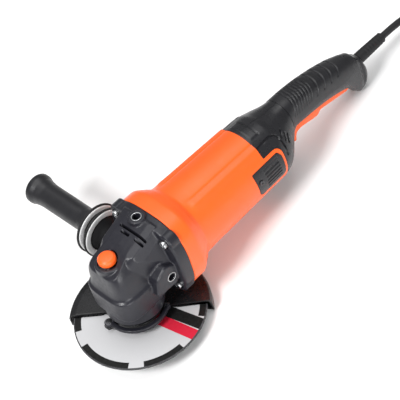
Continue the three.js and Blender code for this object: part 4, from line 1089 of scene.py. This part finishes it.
def strain_relief():
    """The flexible sleeve, with seven ribs."""
    shoulder = RELIEF_FRONT + 4.6
    profile = [(0, RELIEF_FRONT), (RELIEF_FLANGE, RELIEF_FRONT), (RELIEF_FLANGE, shoulder),
               (RELIEF_RADIUS, shoulder), (RELIEF_RADIUS, 384)]
    for k in range(7):
        x, high = 386 + 4.6 * k, RELIEF_RADIUS - 0.1 * k
        low = high - 0.55
        profile += [(high, x, 0.4), (high, x + 3, 0.4), (low, x + 3.3, 0.2), (low, x + 4.3, 0.2)]
    profile += [(6.5, RELIEF_END - 1, 0.6), (6.3, RELIEF_END, 0.5), (0, RELIEF_END)]
    sleeve = move(turn(turned(profile, 64), ALONG_X), 0, 0, RELIEF_Z)
    finished(sleeve, "cord_sleeve", "tool", "rubber", "strain_relief")


# ---- side handle

def damper_flange(nose, face):
    """A round flange with a groove for its trim ring."""
    bore, rim, back = STUD_RADIUS + GAP, FLANGE_RADIUS, face + FLANGE_THICK
    return turned([(bore, nose[0][1]), *nose, (20, face, 0.5), (20.7, face + 1.2, 0.2),
                   (28.2, face + 1.2, 0.2), (28.5, face, 0.2), (rim, face + 0.8, 0.4), (rim, back - 0.8, 0.6),
                   (rim - 1, back, 0.5), (bore, back)], 144, closed=True)


# The trim ring's material paints the studio's reflection on the chrome as a plain near-white colour.
def trim_ring(face):
    inner, outer, back, front = 21.1, 27.8, face + 0.9, face - 0.4
    return turned([(inner, front, 0.4), (inner, back), (outer, back), (outer, front, 0.4),
                   (outer - 1.3, front - 0.3, 0.4), (inner + 1.3, front - 0.3, 0.4)], 144, closed=True)


def side_grip():
    """The grip, which swells at its outer end."""
    start = REAR_FLANGE + FLANGE_THICK + GAP
    return turned([(0, start), (20, start, 0.8), (19.4, start + 2, 1.2), (16, start + 6.5, 4), (14.2, 96, 10),
                   (14.6, 158, 20), (16, 168, 8), (18, 173.5, 5), (18, 178.5, 1.6), (17, 180, 1), (10, 180),
                   (9.5, 179.4), (0, 179.4)], 128)


def side_handle():
    """Its pieces, built along Z and laid along Y at their seat."""
    stud = rod(STUD_RADIUS, SIDE_BOSS_FACE - THREAD_DEPTH + 1, STUD_END, 0.5)
    front_nose = [(7.6, SIDE_BOSS_FACE + GAP, 0.6), (7.6, 54, 2), (13, 58, 2)]
    rear_nose = [(18.5, REAR_FLANGE - FLANGE_NOSE)]
    core_start, core_end = FRONT_FLANGE + FLANGE_THICK + GAP, REAR_FLANGE - FLANGE_NOSE - GAP
    core = tube(STUD_RADIUS + GAP, 19, core_start, core_end, 1.2)
    for work, name, look, node in (
            (stud, "handle_stud", "zinc", "stud"),
            (damper_flange(front_nose, FRONT_FLANGE), "damper_front", "rubber", "front_flange"),
            (trim_ring(FRONT_FLANGE), "damper_front_ring", "chrome", "front_trim"),
            (core, "damper_core", "rubber", "damper"),
            (damper_flange(rear_nose, REAR_FLANGE), "damper_rear", "rubber", "rear_flange"),
            (trim_ring(REAR_FLANGE), "damper_rear_ring", "chrome", "rear_trim"),
            (side_grip(), "side_grip", "grip", "grip")):
        work = move(turn(work, ALONG_Y), SIDE_BOSS_X, 0, SIDE_BOSS_Z)
        finished(work, name, "tool", look, f"side_handle_{node}")


# ---- what the casings hide

HIDDEN = {
    "steel": "crown_gear pinion spindle_ball_bearing spindle_needle_bearing motor_front_bearing "
             "motor_rear_bearing armature_shaft lock_pin lock_spring",
    "copper": "field_coil_upper field_coil_lower armature_winding commutator",
    "lamination": "stator_core armature_core",
    "brass": "brush_holder_left brush_holder_right",
    "carbon": "carbon_brush_left carbon_brush_right",
    "natural": "switch_body switch_plunger cord_clamp",
    "black": "cooling_fan",
    "dark_steel": "handle_screw_1 handle_screw_2 handle_screw_3",
}


def repaint():
    """Materials for the CAD pieces that stay."""
    for material, names in HIDDEN.items():
        for name in names.split():
            for place in frame["nodes"][name].material_slots:
                place.material = MATERIALS[material]


# ---- studio

def studio():
    """A pale floor under plain soft light."""
    bm = bmesh.new()
    bmesh.ops.create_grid(bm, x_segments=1, y_segments=1, size=6)
    floor = from_bmesh(bm)
    floor.name = "floor"
    shade = Shade("floor_paper", (0.88, 0.88, 0.88), 0.85)
    shade.set(Base_Color=shade.mix(shade.spread(shade.noise(3, 2), 0, 1), (0.87,) * 3, (0.89,) * 3))
    floor.data.materials.append(shade.material)
    world = bpy.data.worlds.new("studio")
    world.use_nodes = True
    background = world.node_tree.nodes["Background"]
    background.inputs["Color"].default_value = (1, 1, 1, 1)
    background.inputs["Strength"].default_value = 0.32
    bpy.context.scene.world = world
    for name, place, size, watts in LAMPS:
        lamp = bpy.data.lights.new(name, "AREA")
        lamp.size = size
        lamp.energy = watts
        light = placed(name, lamp)
        light.location = place
        light.rotation_euler = (LAMP_TARGET - Vector(place)).to_track_quat("-Z", "Y").to_euler()
    bpy.context.scene.view_settings.view_transform = "Standard"


for build in (gear_case, machined_seats, case_screws, lock_button, bearing_flange, wheel, inner_flange,
              lock_nut, spindle, guard, lever, housing):
    build()
for side in SIDES:
    brush_cover(side)
for build in (handle_shells, soft_grip, trigger, strain_relief, side_handle, repaint, studio):
    build()
